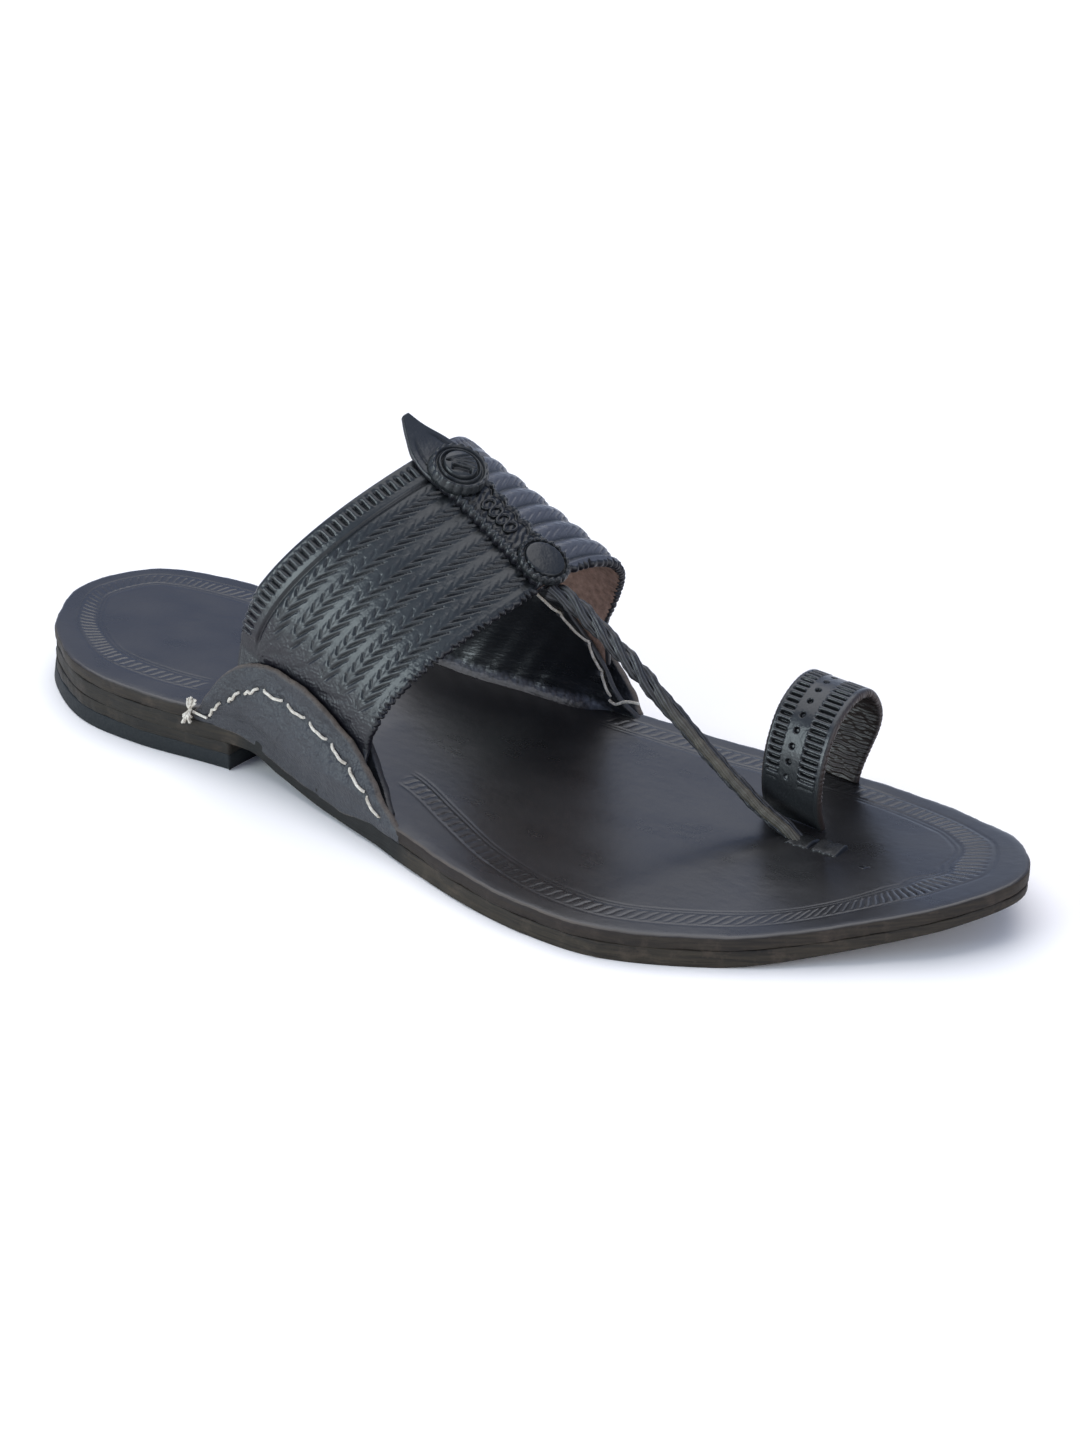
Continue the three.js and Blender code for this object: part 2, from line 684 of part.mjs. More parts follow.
// Short strap end lying on the insole in front of the thong
function toeTie() {
  const { x, back, front, half, height, edge } = TOE_TIE;
  const across = [
    { out: -1, drop: edge / 2 },
    { out: -0.5, drop: 0 },
    { out: 0.5, drop: 0 },
    { out: 1, drop: edge / 2 },
  ];
  const top = [];
  const under = [];
  for (let i = 0; i <= TIE_STEPS; i += 1) {
    const y = lerp(back, front, i / TIE_STEPS);
    const floor = insoleTop(y) + CLEARANCE;
    const arch = lerp(edge, height, Math.sin((Math.PI * i) / TIE_STEPS));
    top.push(across.map(({ out, drop }) => new THREE.Vector3(x + out * half, y, floor + arch - drop)));
    under.push(across.map(({ out }) => new THREE.Vector3(x + out * half, y, floor)));
  }
  return sheetSolid(top, under);
}

// Assembly, each piece its own named mesh, with the origin under the middle of the sandal
function pieceMesh(name, geometry, finish) {
  const mesh = new THREE.Mesh(geometry, new THREE.MeshStandardMaterial(finish));
  mesh.name = name;
  return mesh;
}

const pieces = new THREE.Group();
pieces.add(
  pieceMesh('heel_rubber', heelRubber(), HEEL_RUBBER),
  pieceMesh('heel_lift', heelLift(), SOLE_LEATHER),
  pieceMesh('outsole', outsole(), SOLE_LEATHER),
  pieceMesh('insole', insole(), BLACK_LEATHER),
  pieceMesh('instep_band', instepBand(), BLACK_LEATHER),
  pieceMesh('crest_strip', crestStrip(), BLACK_LEATHER),
  seatOnCrest(pieceMesh('rear_boss', bossGeometry(REAR_BOSS), BLACK_LEATHER), REAR_BOSS.along),
  seatOnCrest(pieceMesh('front_boss', bossGeometry(FRONT_BOSS), BLACK_LEATHER), FRONT_BOSS.along),
  pieceMesh('thong', thong(), BLACK_LEATHER),
  pieceMesh('toe_ring', toeRing(), BLACK_LEATHER),
  pieceMesh('toe_tie', toeTie(), BLACK_LEATHER),
);
for (const side of ['lateral', 'medial']) {
  for (const layer of ['outer', 'inner']) {
    pieces.add(pieceMesh(`ear_${side}_${layer}`, earLeaf(side, layer), BLACK_LEATHER));
  }
}

const box = new THREE.Box3().setFromObject(pieces, true);
const middle = box.getCenter(new THREE.Vector3());
pieces.position.set(-middle.x, -middle.y, -box.min.z);

const sandal = new THREE.Group();
sandal.name = 'kolhapuri_sandal';
sandal.add(pieces);

export default sandal;
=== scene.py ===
# %% [markdown]
# # A kolhapuri sandal in black leather
# This lesson dresses a packed sandal: a stacked leather sole, an embossed band over the instep,
# a crest strip with two bosses, a plaited thong and a ring for the big toe.
# Each piece is rebuilt as a fine mesh on the same sizes as the plain solid that it stands for,
# because stamped leather is all small relief, and relief needs many points.

# %% Load the frame
import math
from types import SimpleNamespace
import bpy
import numpy as np
from mathutils import Matrix, Vector


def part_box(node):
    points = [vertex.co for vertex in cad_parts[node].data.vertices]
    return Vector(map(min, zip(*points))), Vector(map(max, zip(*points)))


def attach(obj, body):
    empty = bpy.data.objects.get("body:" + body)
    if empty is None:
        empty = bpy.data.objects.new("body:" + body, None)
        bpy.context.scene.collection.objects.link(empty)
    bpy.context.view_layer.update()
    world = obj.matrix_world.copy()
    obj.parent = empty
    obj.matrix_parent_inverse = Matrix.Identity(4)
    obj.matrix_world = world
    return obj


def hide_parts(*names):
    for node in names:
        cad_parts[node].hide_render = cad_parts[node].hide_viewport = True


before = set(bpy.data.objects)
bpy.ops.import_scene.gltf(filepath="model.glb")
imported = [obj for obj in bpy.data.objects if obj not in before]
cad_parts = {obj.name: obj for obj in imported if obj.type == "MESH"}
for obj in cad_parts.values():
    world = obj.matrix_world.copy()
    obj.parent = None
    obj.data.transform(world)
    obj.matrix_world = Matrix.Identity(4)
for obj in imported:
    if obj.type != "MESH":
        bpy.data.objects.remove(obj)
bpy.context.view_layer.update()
MM = 0.001
print("nodes in the frame:", len(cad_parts))

# %% [markdown]
# ## Small tools for curves
# A leather worker draws with a bent lath, which passes through its pins without kinks.
# Two such laths are enough here: one that follows rows of a table and never overshoots them,
# and a spline through points in space.

# %% Blends
def lerp(start, end, share):
    return start + (end - start) * share


def smoothstep(at, start, end):
    share = np.clip((np.asarray(at, float) - start) / (end - start), 0, 1)
    return share * share * (3 - 2 * share)


def window(at, start, end, run):
    return np.minimum(smoothstep(at, start - run, start), 1 - smoothstep(at, end, end + run))


def groove(distance, half_width):
    return np.exp(-((distance / half_width) ** 2))


def unit(vectors):
    return vectors / np.linalg.norm(vectors, axis=-1, keepdims=True)


print("a soft step at a quarter of its run:", smoothstep(0.25, 0, 1))

# %% Curves
FINE_STEPS = 6001


def curve_through(rows, column=1):
    table = np.array(rows, float)
    keys, values = table[:, 0], table[:, column]
    slopes = np.diff(values) / np.diff(keys)
    before = np.append(slopes[:1], slopes)
    after = np.append(slopes, slopes[-1:])
    both = np.where(before * after > 0, before + after, 1)
    tangents = np.where(before * after > 0, 2 * before * after / both, 0)

    def value_at(at):
        inside = np.clip(np.asarray(at, float), keys[0], keys[-1])
        after_row = np.clip(np.searchsorted(keys, inside), 1, len(keys) - 1)
        row = after_row - 1
        span = keys[after_row] - keys[row]
        share = (inside - keys[row]) / span
        rise = lerp(values[row], values[after_row], share * share * (3 - 2 * share))
        bend = share * (1 - share) ** 2 * tangents[row] + share**2 * (share - 1) * tangents[after_row]
        return rise + span * bend

    return value_at


def spline(points, closed=False):
    pins = np.array(points, float)
    if closed:
        ring = np.vstack([pins[-1:], pins, pins[:2]])
        spans = len(pins)
    else:
        ring = np.vstack([2 * pins[0] - pins[1], pins, 2 * pins[-1] - pins[-2]])
        spans = len(pins) - 1

    def point_at(share):
        at = np.clip(np.asarray(share, float), 0, 1) * spans
        pin = np.minimum(at.astype(int), spans - 1)
        part = (at - pin)[..., None]
        near = [ring[pin + step] for step in range(4)]
        gaps = [np.sqrt(np.linalg.norm(near[k + 1] - near[k], axis=-1))[..., None] for k in range(3)]
        leave = (near[1] - near[0]) / gaps[0] - (near[2] - near[0]) / (gaps[0] + gaps[1])
        leave = (leave + (near[2] - near[1]) / gaps[1]) * gaps[1]
        reach = (near[2] - near[1]) / gaps[1] - (near[3] - near[1]) / (gaps[1] + gaps[2])
        reach = (reach + (near[3] - near[2]) / gaps[2]) * gaps[1]
        step = near[2] - near[1]
        square = 3 * step - 2 * leave - reach
        cube = leave + reach - 2 * step
        return near[1] + part * leave + part**2 * square + part**3 * cube

    return point_at


def run_along(points):
    return np.append(0, np.cumsum(np.linalg.norm(np.diff(points, axis=0), axis=1)))


def evenly_along(curve, count, closed=False):
    fine = np.linspace(0, 1, FINE_STEPS)
    run = run_along(curve(fine))
    places = np.linspace(0, run[-1], count, endpoint=not closed)
    return places, curve(np.interp(places, run, fine))


print("half way up a lath from 0 to 1:", curve_through([(0, 0), (1, 1)])(0.5))

# %% [markdown]
# ## Outline and layers of the sole
# The sole of such a sandal is cut by hand from thick hide: an insole, an outsole, and under the
# heel a leather lift and a rubber top piece. All of them follow one outline, so the outline is
# drawn once, as a row for each cross section from heel to toe.
# The frame's origin lies under the middle of the sandal. Comparing the drawn outline with the
# outsole in the frame gives the small shift between the two.

# %% Sole outline
SOLE_SECTIONS = [  # along, medial edge, lateral edge
    (-137, -35.7, 2.3),
    (-127, -41.3, 12.8),
    (-111, -44.0, 22.4),
    (-91, -44.2, 25.7),
    (-51, -43.8, 25.0),
    (-11, -47.6, 34.6),
    (29, -48.6, 47.0),
    (49, -49.0, 50.3),
    (69, -50.1, 49.5),
    (99, -49.2, 35.5),
    (127, -38.2, 14.2),
    (138, -30.2, 4.0),
]
HEEL_END = (-17.8, -144.8)
TOE_END = (-12.6, 146.4)
lateral_pins = [(lateral, y) for y, medial, lateral in SOLE_SECTIONS]
medial_pins = [(medial, y) for y, medial, lateral in reversed(SOLE_SECTIONS)]
outline = spline([HEEL_END, *lateral_pins, TOE_END, *medial_pins], closed=True)
half_outline = np.linspace(0, 0.5, FINE_STEPS // 2 + 1)
OUTLINE_SIDES = {"lateral": outline(half_outline), "medial": outline(1 - half_outline)}
_, outsole_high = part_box("outsole")
drawn_high = OUTLINE_SIDES["lateral"].max(axis=0)
FRAME_SHIFT = np.append(np.array(outsole_high[:2]) / MM - drawn_high, 0)
print("shift from the drawing to the frame, mm:", FRAME_SHIFT.round(3))


def outline_x(side, y):
    points = OUTLINE_SIDES[side]
    return np.interp(y, points[:, 1], points[:, 0])


def outward_from(points):
    ahead = np.roll(points, -1, axis=0) - np.roll(points, 1, axis=0)
    return unit(np.column_stack([ahead[:, 1], -ahead[:, 0]]))


def sole_loop(count):
    run, points = evenly_along(outline, count, closed=True)
    lateral = run < run[np.argmax(points[:, 1])]
    return SimpleNamespace(run=run, points=points, outward=outward_from(points), lateral=lateral)


# %% Heights of the layers
OUTSOLE_SECTIONS = [  # along, underside, thickness
    (-146, 8.1, 4.5),
    (-54, 8.1, 4.5),
    (-43, 4.7, 5.2),
    (-26, 1.6, 5.6),
    (-1, 0.6, 5.4),
    (29, 0.2, 4.8),
    (54, 0, 4.5),
    (92, 0, 4.5),
    (118, 3.9, 3.4),
    (148, 11, 2.3),
]
INSOLE_LIFT = 0.3
INSOLE_THICKNESS = 3.3
RUBBER_THICKNESS = 4.8
outsole_bottom = curve_through(OUTSOLE_SECTIONS, 1)
outsole_thickness = curve_through(OUTSOLE_SECTIONS, 2)


def outsole_top(y):
    return outsole_bottom(y) + outsole_thickness(y)


def insole_top(y):
    return outsole_top(y) + INSOLE_LIFT + INSOLE_THICKNESS


print("top of the insole at heel and ball, mm:", insole_top(-100), insole_top(70))

# %% [markdown]
# ## Camera
# The photograph looks down on the lateral side from in front of the ball of the foot.
# A long lens was fitted to the outline of the sole, so the camera is placed by its distance and
# direction from a point on the sandal, and then nothing has to be nudged by eye.

# %% Camera
PHOTO_HEIGHT = 1440
FOCAL_PIXELS = 3163.1
SENSOR_MM = 36.0
CAMERA_DISTANCE = 799.85
CAMERA_AZIMUTH = math.radians(33.45)
CAMERA_ELEVATION = math.radians(27.03)
CAMERA_TARGET = np.array([-11.98, 11.91, 20.0])


def add_to_scene(name, data):
    thing = bpy.data.objects.new(name, data)
    bpy.context.scene.collection.objects.link(thing)
    return thing


camera_data = bpy.data.cameras.new("photo_camera")
camera_data.sensor_width = SENSOR_MM
camera_data.lens = FOCAL_PIXELS * SENSOR_MM / PHOTO_HEIGHT
camera = add_to_scene("photo_camera", camera_data)
level = math.cos(CAMERA_ELEVATION)
camera_back = Vector((
    level * math.cos(CAMERA_AZIMUTH),
    level * math.sin(CAMERA_AZIMUTH),
    math.sin(CAMERA_ELEVATION),
))
camera_place = Vector((CAMERA_TARGET + FRAME_SHIFT) * MM) + camera_back * CAMERA_DISTANCE * MM
turn = camera_back.to_track_quat("Z", "Y").to_matrix().to_4x4()
camera.matrix_world = Matrix.Translation(camera_place) @ turn
bpy.context.scene.camera = camera
print("lens, mm:", round(camera_data.lens, 2))

# %% [markdown]
# ## Floor and light
# The sandal stands on a white ground. A large softbox high behind it whitens the ground and lets
# the shadow fall towards the viewer, and a cool sky fills that shadow with blue. A second softbox,
# low on the right, is what shines in the side of the band and in the toe ring. Two weak ones help:
# one in front of the toe lights the room under the band, and one behind picks out its far half.

# %% Floor and light
FLOOR_HALF = 8.0
SKY_COLOUR = (0.30, 0.375, 0.585, 1)
KEY = SimpleNamespace(
    direction=(-0.20, -0.26, 0.95), distance=6.0, size=8.0, power=400.0, colour=(1.0, 0.98, 0.95),
)
WINDOW = SimpleNamespace(
    direction=(0.84, -0.46, 0.25), distance=1.3, size=0.7, power=11.5, colour=(0.86, 0.98, 1.0),
)
FILL = SimpleNamespace(
    direction=(0.35, 0.85, 0.30), distance=1.5, size=1.0, power=7.0, colour=(1.0, 1.0, 1.0),
)
REAR = SimpleNamespace(
    direction=(-0.95, -0.29, 0.08), distance=1.5, size=0.6, power=0.8, colour=(0.82, 0.91, 1.0),
)
LIGHT_AIM = Vector((0, 0, 0.03))


def softbox(name, spec):
    light = bpy.data.lights.new(name, "AREA")
    light.size = spec.size
    light.energy = spec.power
    light.color = spec.colour
    lamp = add_to_scene(name, light)
    toward = Vector(spec.direction).normalized()
    lamp.location = LIGHT_AIM + toward * spec.distance
    lamp.rotation_euler = toward.to_track_quat("Z", "Y").to_euler()


softbox("key_light", KEY)
softbox("window_light", WINDOW)
softbox("fill_light", FILL)
softbox("rear_light", REAR)
world = bpy.data.worlds.new("cool_sky")
world.use_nodes = True
sky = world.node_tree.nodes["Background"]
sky.inputs["Color"].default_value = SKY_COLOUR
bpy.context.scene.world = world
bpy.context.scene.view_settings.view_transform = "Standard"

floor_mesh = bpy.data.meshes.new("floor")
corners = [(-1, -1), (1, -1), (1, 1), (-1, 1)]
floor_mesh.from_pydata([(x * FLOOR_HALF, y * FLOOR_HALF, 0) for x, y in corners], [], [(0, 1, 2, 3)])
floor = add_to_scene("floor", floor_mesh)

# %% [markdown]
# ## Tools for materials
# A shader is a small machine of nodes. These helpers add a node, set its plain values and mix two
# colours, so that each finish below reads as a short recipe.

# %% Material tools
def new_material(name):
    material = bpy.data.materials.new(name)
    material.use_nodes = True
    tree = material.node_tree
    shader = tree.nodes["Principled BSDF"]
    return material, tree, shader


def add_node(tree, kind, settings=(), **inputs):
    node = tree.nodes.new(kind)
    for key, value in dict(settings).items():
        setattr(node, key, value)
    for label, value in inputs.items():
        socket = node.inputs[label.replace("_", " ")]
        if isinstance(value, bpy.types.NodeSocket):
            tree.links.new(value, socket)
        else:
            socket.default_value = value
    return node


def mix_colours(tree, share, first, second):
    node = tree.nodes.new("ShaderNodeMix")
    node.data_type = "RGBA"
    named = {"Factor_Float": share, "A_Color": first, "B_Color": second}
    for socket in node.inputs:
        value = named.get(socket.identifier)
        if isinstance(value, bpy.types.NodeSocket):
            tree.links.new(value, socket)
        elif value is not None:
            socket.default_value = value
    return next(s for s in node.outputs if s.identifier == "Result_Color")


def object_place(tree, stretch=(1, 1, 1)):
    where = add_node(tree, "ShaderNodeTexCoord")
    mapping = add_node(tree, "ShaderNodeMapping", Vector=where.outputs["Object"])
    mapping.inputs["Scale"].default_value = stretch
    return mapping.outputs["Vector"]


def noise(tree, place, size_mm, detail=3.0, roughness=0.55):
    node = add_node(
        tree, "ShaderNodeTexNoise",
        Vector=place, Scale=1 / (size_mm * MM), Detail=detail, Roughness=roughness,
    )
    return node.outputs["Fac"]


def remap(tree, value, low, high, to_low, to_high):
    node = add_node(tree, "ShaderNodeMapRange", Value=value)
    node.inputs["From Min"].default_value = low
    node.inputs["From Max"].default_value = high
    node.inputs["To Min"].default_value = to_low
    node.inputs["To Max"].default_value = to_high
    return node.outputs["Result"]


def mark(tree, name):
    node = add_node(tree, "ShaderNodeAttribute", {"attribute_name": name})
    return node.outputs["Fac"]


def bump(tree, height, depth_mm, strength, below=None):
    node = add_node(tree, "ShaderNodeBump", Height=height, Strength=strength, Distance=depth_mm * MM)
    if below is not None:
        tree.links.new(below, node.inputs["Normal"])
    return node.outputs["Normal"]


print("materials before the finishes:", len(bpy.data.materials))

# %% [markdown]
# ## Finishes
# The upper is black vegetable-tanned hide with a cool satin sheen. Stamped lines and hollows are
# painted dark, as painted shade with dye in them, and ridges lighter, as rubbed wear with painted
# highlight; cut edges show burnished brown, and the flesh side is a warm red-brown. The pieces
# carry three marks for this: relief, cut and inside. On some pieces the relief and cut marks also
# carry painted shade and painted highlight set on purpose.

# %% Black leather
# HOLLOW_DYE_AND_SHADE is dye with painted shade for hollows; RIDGE_WEAR_AND_HIGHLIGHT is rubbed wear with
# painted highlight for ridges
HOLLOW_DYE_AND_SHADE = (0.003, 0.0035, 0.004, 1)
RIDGE_WEAR_AND_HIGHLIGHT = (0.085, 0.090, 0.105, 1)
DARK_FLESH, PALE_FLESH = (0.165, 0.108, 0.082, 1), (0.40, 0.26, 0.20, 1)


def black_leather(
    name, deep, worn, gloss, cut_colour,
    stretch=(1, 1, 1), grain=1.0, shine=0.5, cut_matt=0.22, pore_mm=0.75,
):
    material, tree, shader = new_material(name)
    place = object_place(tree, stretch)
    patches = remap(tree, noise(tree, place, size_mm=26, detail=5), 0.35, 0.68, 0, 1)
    colour = mix_colours(tree, patches, deep, worn)
    relief = mark(tree, "relief")
    # Below 0.45 the relief mark paints hollows dark, as painted shade with dye; above 0.6 it paints ridges
    # lighter, as rubbed wear and painted highlight
    colour = mix_colours(tree, remap(tree, relief, 0.45, 0.1, 0, 0.9), colour, HOLLOW_DYE_AND_SHADE)
    colour = mix_colours(tree, remap(tree, relief, 0.6, 1.0, 0, 0.75), colour, RIDGE_WEAR_AND_HIGHLIGHT)
    flesh_noise = noise(tree, place, size_mm=1.7, detail=5, roughness=0.65)
    flesh = mix_colours(tree, remap(tree, flesh_noise, 0.3, 0.7, 0, 1), DARK_FLESH, PALE_FLESH)
    colour = mix_colours(tree, mark(tree, "inside"), colour, flesh)
    cut_tone = remap(tree, noise(tree, place, size_mm=3, detail=4), 0.3, 0.7, 0.6, 1)
    cut = add_node(tree, "ShaderNodeMath", {"operation": "MULTIPLY"})
    tree.links.new(mark(tree, "cut"), cut.inputs[0])
    tree.links.new(cut_tone, cut.inputs[1])
    colour = mix_colours(tree, cut.outputs[0], colour, cut_colour)
    tree.links.new(colour, shader.inputs["Base Color"])
    sheen = remap(tree, noise(tree, place, size_mm=14), 0.3, 0.7, gloss - 0.03, gloss + 0.08)
    matt_edge = add_node(tree, "ShaderNodeMath", {"operation": "MULTIPLY_ADD"})
    tree.links.new(mark(tree, "cut"), matt_edge.inputs[0])
    matt_edge.inputs[1].default_value = cut_matt
    tree.links.new(sheen, matt_edge.inputs[2])
    tree.links.new(matt_edge.outputs[0], shader.inputs["Roughness"])
    pores = add_node(tree, "ShaderNodeTexVoronoi", Vector=place, Scale=1 / (pore_mm * MM))
    fine = bump(tree, pores.outputs["Distance"], 0.06 * grain, 0.55)
    wrinkles = noise(tree, place, size_mm=2.2, roughness=0.5)
    soft = bump(tree, wrinkles, 0.22 * grain, 0.6, fine)
    tree.links.new(soft, shader.inputs["Normal"])
    shader.inputs["Specular IOR Level"].default_value = shine
    return material


# These are the colours of painted shade with dye, and of rubbed wear with painted highlight
print("dye in the stamps and on the ridges:", HOLLOW_DYE_AND_SHADE[:3], RIDGE_WEAR_AND_HIGHLIGHT[:3])

# %% Leathers of the pieces
# The upper's cut colour also paints the band's plain foot and tucks darker, as painted shade
UPPER_LEATHER = black_leather(
    "upper_leather", (0.013, 0.015, 0.016, 1), (0.024, 0.027, 0.028, 1), 0.30,
    cut_colour=(0.007, 0.006, 0.009, 1), shine=0.38, cut_matt=0.0,
)
EAR_LEATHER = black_leather(
    "ear_leather", (0.015, 0.016, 0.019, 1), (0.025, 0.027, 0.032, 1), 0.48, grain=5.0,
    cut_colour=(0.10, 0.080, 0.062, 1), shine=0.42, pore_mm=1.0,
)
# A darker copy of the black leather, as painted shade under the band; its gloss and stretched grain are
# the leaf's own
INNER_LEAF_LEATHER = black_leather(
    "inner_leaf_leather", (0.008, 0.009, 0.010, 1), (0.014, 0.015, 0.017, 1), 0.27,
    stretch=(1, 0.35, 1.3), grain=1.3, cut_colour=(0.020, 0.018, 0.017, 1),
)
INSOLE_LEATHER = black_leather(
    "insole_leather", (0.009, 0.0085, 0.009, 1), (0.015, 0.014, 0.014, 1), 0.28,
    stretch=(1, 0.6, 1), grain=0.36, cut_colour=(0.070, 0.052, 0.036, 1), shine=0.58, pore_mm=1.7,
)
THONG_LEATHER = black_leather(
    "thong_leather", (0.010, 0.010, 0.010, 1), (0.023, 0.022, 0.020, 1), 0.40,
    cut_colour=(0.085, 0.072, 0.046, 1),
)
RING_LEATHER = black_leather(
    "ring_leather", (0.013, 0.014, 0.015, 1), (0.024, 0.026, 0.027, 1), 0.28,
    cut_colour=(0.040, 0.025, 0.019, 1), shine=0.40,
)
print("leathers:", [m.name for m in bpy.data.materials if "leather" in m.name])


# %% Sole edge, rubber, thread and floor
def sole_edge_leather():
    material, tree, shader = new_material("sole_edge_leather")
    layers = object_place(tree, (0.12, 0.12, 2.2))
    stripes = noise(tree, layers, size_mm=1.6, detail=5, roughness=0.65)
    stripe_tone = remap(tree, stripes, 0.35, 0.68, 0, 1)
    colour = mix_colours(tree, stripe_tone, (0.010, 0.008, 0.006, 1), (0.040, 0.032, 0.022, 1))
    scuffs = noise(tree, object_place(tree), size_mm=6, detail=6, roughness=0.7)
    colour = mix_colours(tree, remap(tree, scuffs, 0.52, 0.70, 0, 0.65), colour, (0.068, 0.050, 0.036, 1))
    red_brown = remap(tree, mark(tree, "cut"), 0, 1, 0, 0.75)
    colour = mix_colours(tree, red_brown, colour, (0.014, 0.009, 0.008, 1))
    # The relief mark paints the lateral waist darker, as painted shade under the raised arch, and the heel
    # and lift darker with dye
    dye_and_shade = remap(tree, mark(tree, "relief"), 0.45, 0.1, 0, 0.85)
    colour = mix_colours(tree, dye_and_shade, colour, (0.004, 0.005, 0.005, 1))
    tree.links.new(colour, shader.inputs["Base Color"])
    tree.links.new(remap(tree, stripes, 0.3, 0.7, 0.55, 0.75), shader.inputs["Roughness"])
    shader.inputs["Specular IOR Level"].default_value = 0.25
    tree.links.new(bump(tree, stripes, 0.25, 0.7), shader.inputs["Normal"])
    return material


def heel_rubber_finish():
    material, tree, shader = new_material("heel_rubber_finish")
    place = object_place(tree)
    mottle = noise(tree, place, size_mm=12, detail=4)
    colour = mix_colours(tree, mottle, (0.005, 0.007, 0.008, 1), (0.011, 0.014, 0.016, 1))
    tree.links.new(colour, shader.inputs["Base Color"])
    speckle = noise(tree, place, size_mm=0.8, detail=4, roughness=0.7)
    tree.links.new(remap(tree, speckle, 0.3, 0.7, 0.6, 0.8), shader.inputs["Roughness"])
    tree.links.new(bump(tree, speckle, 0.12, 0.5), shader.inputs["Normal"])
    shader.inputs["Specular IOR Level"].default_value = 0.3
    return material


def waxed_thread():
    material, tree, shader = new_material("waxed_thread")
    place = object_place(tree)
    tone = remap(tree, noise(tree, place, size_mm=1.4, detail=4), 0.3, 0.7, 0, 1)
    colour = mix_colours(tree, tone, (0.34, 0.30, 0.24, 1), (0.66, 0.62, 0.54, 1))
    tree.links.new(colour, shader.inputs["Base Color"])
    plies = add_node(tree, "ShaderNodeTexWave", Vector=place, Scale=0.9 / MM, Distortion=1.5)
    tree.links.new(bump(tree, plies.outputs["Fac"], 0.15, 0.6), shader.inputs["Normal"])
    shader.inputs["Roughness"].default_value = 0.7
    return material


def floor_finish():
    material, tree, shader = new_material("floor_finish")
    tone = noise(tree, object_place(tree), size_mm=300, detail=2)
    colour = mix_colours(tree, tone, (0.97, 0.93, 0.88, 1), (0.98, 0.945, 0.90, 1))
    tree.links.new(colour, shader.inputs["Base Color"])
    shader.inputs["Roughness"].default_value = 0.9
    return material


SOLE_EDGE = sole_edge_leather()
RUBBER = heel_rubber_finish()
THREAD = waxed_thread()
floor.data.materials.append(floor_finish())
print("finishes:", len(bpy.data.materials))

# %% [markdown]
# ## Tools for meshes
# Nearly every piece is a grid: sections side by side, each with the same number of points.
# A strap is such a grid wrapped round its own thickness, with round edges, so that the wall is
# closed and its edges catch the light like cut leather.

# %% Mesh tools
def grid_faces(rows, columns, closed=False):
    row, column = np.meshgrid(np.arange(rows - 1), np.arange(columns - (not closed)), indexing="ij")
    beside = (column + 1) % columns
    first = row * columns
    quads = [first + column, first + beside, first + columns + beside, first + columns + column]
    return np.stack(quads, axis=-1).reshape(-1, 4)


def tube_faces(rows, columns):
    faces = grid_faces(rows, columns, closed=True).tolist()
    faces.append(list(range(columns))[::-1])
    faces.append([(rows - 1) * columns + k for k in range(columns)])
    return faces


def enclosed_volume(points, faces):
    total = 0.0
    for size in {len(face) for face in faces}:
        corners = np.array([face for face in faces if len(face) == size])
        for k in range(1, size - 1):
            a, b, c = (points[corners[:, n]] for n in (0, k, k + 1))
            total += np.einsum("ij,ij->", a, np.cross(b, c)) / 6
    return total


def make_piece(name, points, faces, material, slot, nodes=(), edge_faces=0, **marks):
    faces = [list(face) for face in faces]
    if enclosed_volume(points, faces) < 0:
        faces = [face[::-1] for face in faces]
    mesh = bpy.data.meshes.new(name)
    mesh.from_pydata(((points + FRAME_SHIFT) * MM).tolist(), [], faces)
    mesh.shade_smooth()
    for key, values in {"relief": 0.5, "cut": 0.0, "inside": 0.0, **marks}.items():
        attribute = mesh.attributes.new(key, "FLOAT", "POINT")
        spread = np.broadcast_to(np.asarray(values, np.float32), (len(points),))
        attribute.data.foreach_set("value", np.ascontiguousarray(spread))
    mesh.materials.append(material)
    if edge_faces:
        mesh.materials.append(SOLE_EDGE)
        on_edge = np.arange(len(faces)) < edge_faces
        mesh.polygons.foreach_set("material_index", on_edge.astype(np.int32))
    hand_over(add_to_scene(name, mesh), nodes)


def hand_over(piece, nodes=()):
    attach(piece, "root")
    if nodes:
        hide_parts(*nodes)
    triangles = sum(len(face.vertices) - 2 for face in piece.data.polygons)
    print(f"{piece.name}: {triangles} triangles")


print("faces of a tube of 3 rings with 4 points each:", len(tube_faces(3, 4)))

# %% Wrapped sheets and caps
ARC_STEPS = 7


def edge_arc(outer, inner, off_edge, bulge):
    middle = (outer + inner) / 2
    half = (outer - inner) / 2
    reach = off_edge * np.linalg.norm(half, axis=-1, keepdims=True) * bulge
    turns = [math.pi * k / (ARC_STEPS + 1) for k in range(1, ARC_STEPS + 1)]
    arc = [middle + half * math.cos(a) + reach * math.sin(a) for a in turns]
    return np.stack(arc, axis=1)


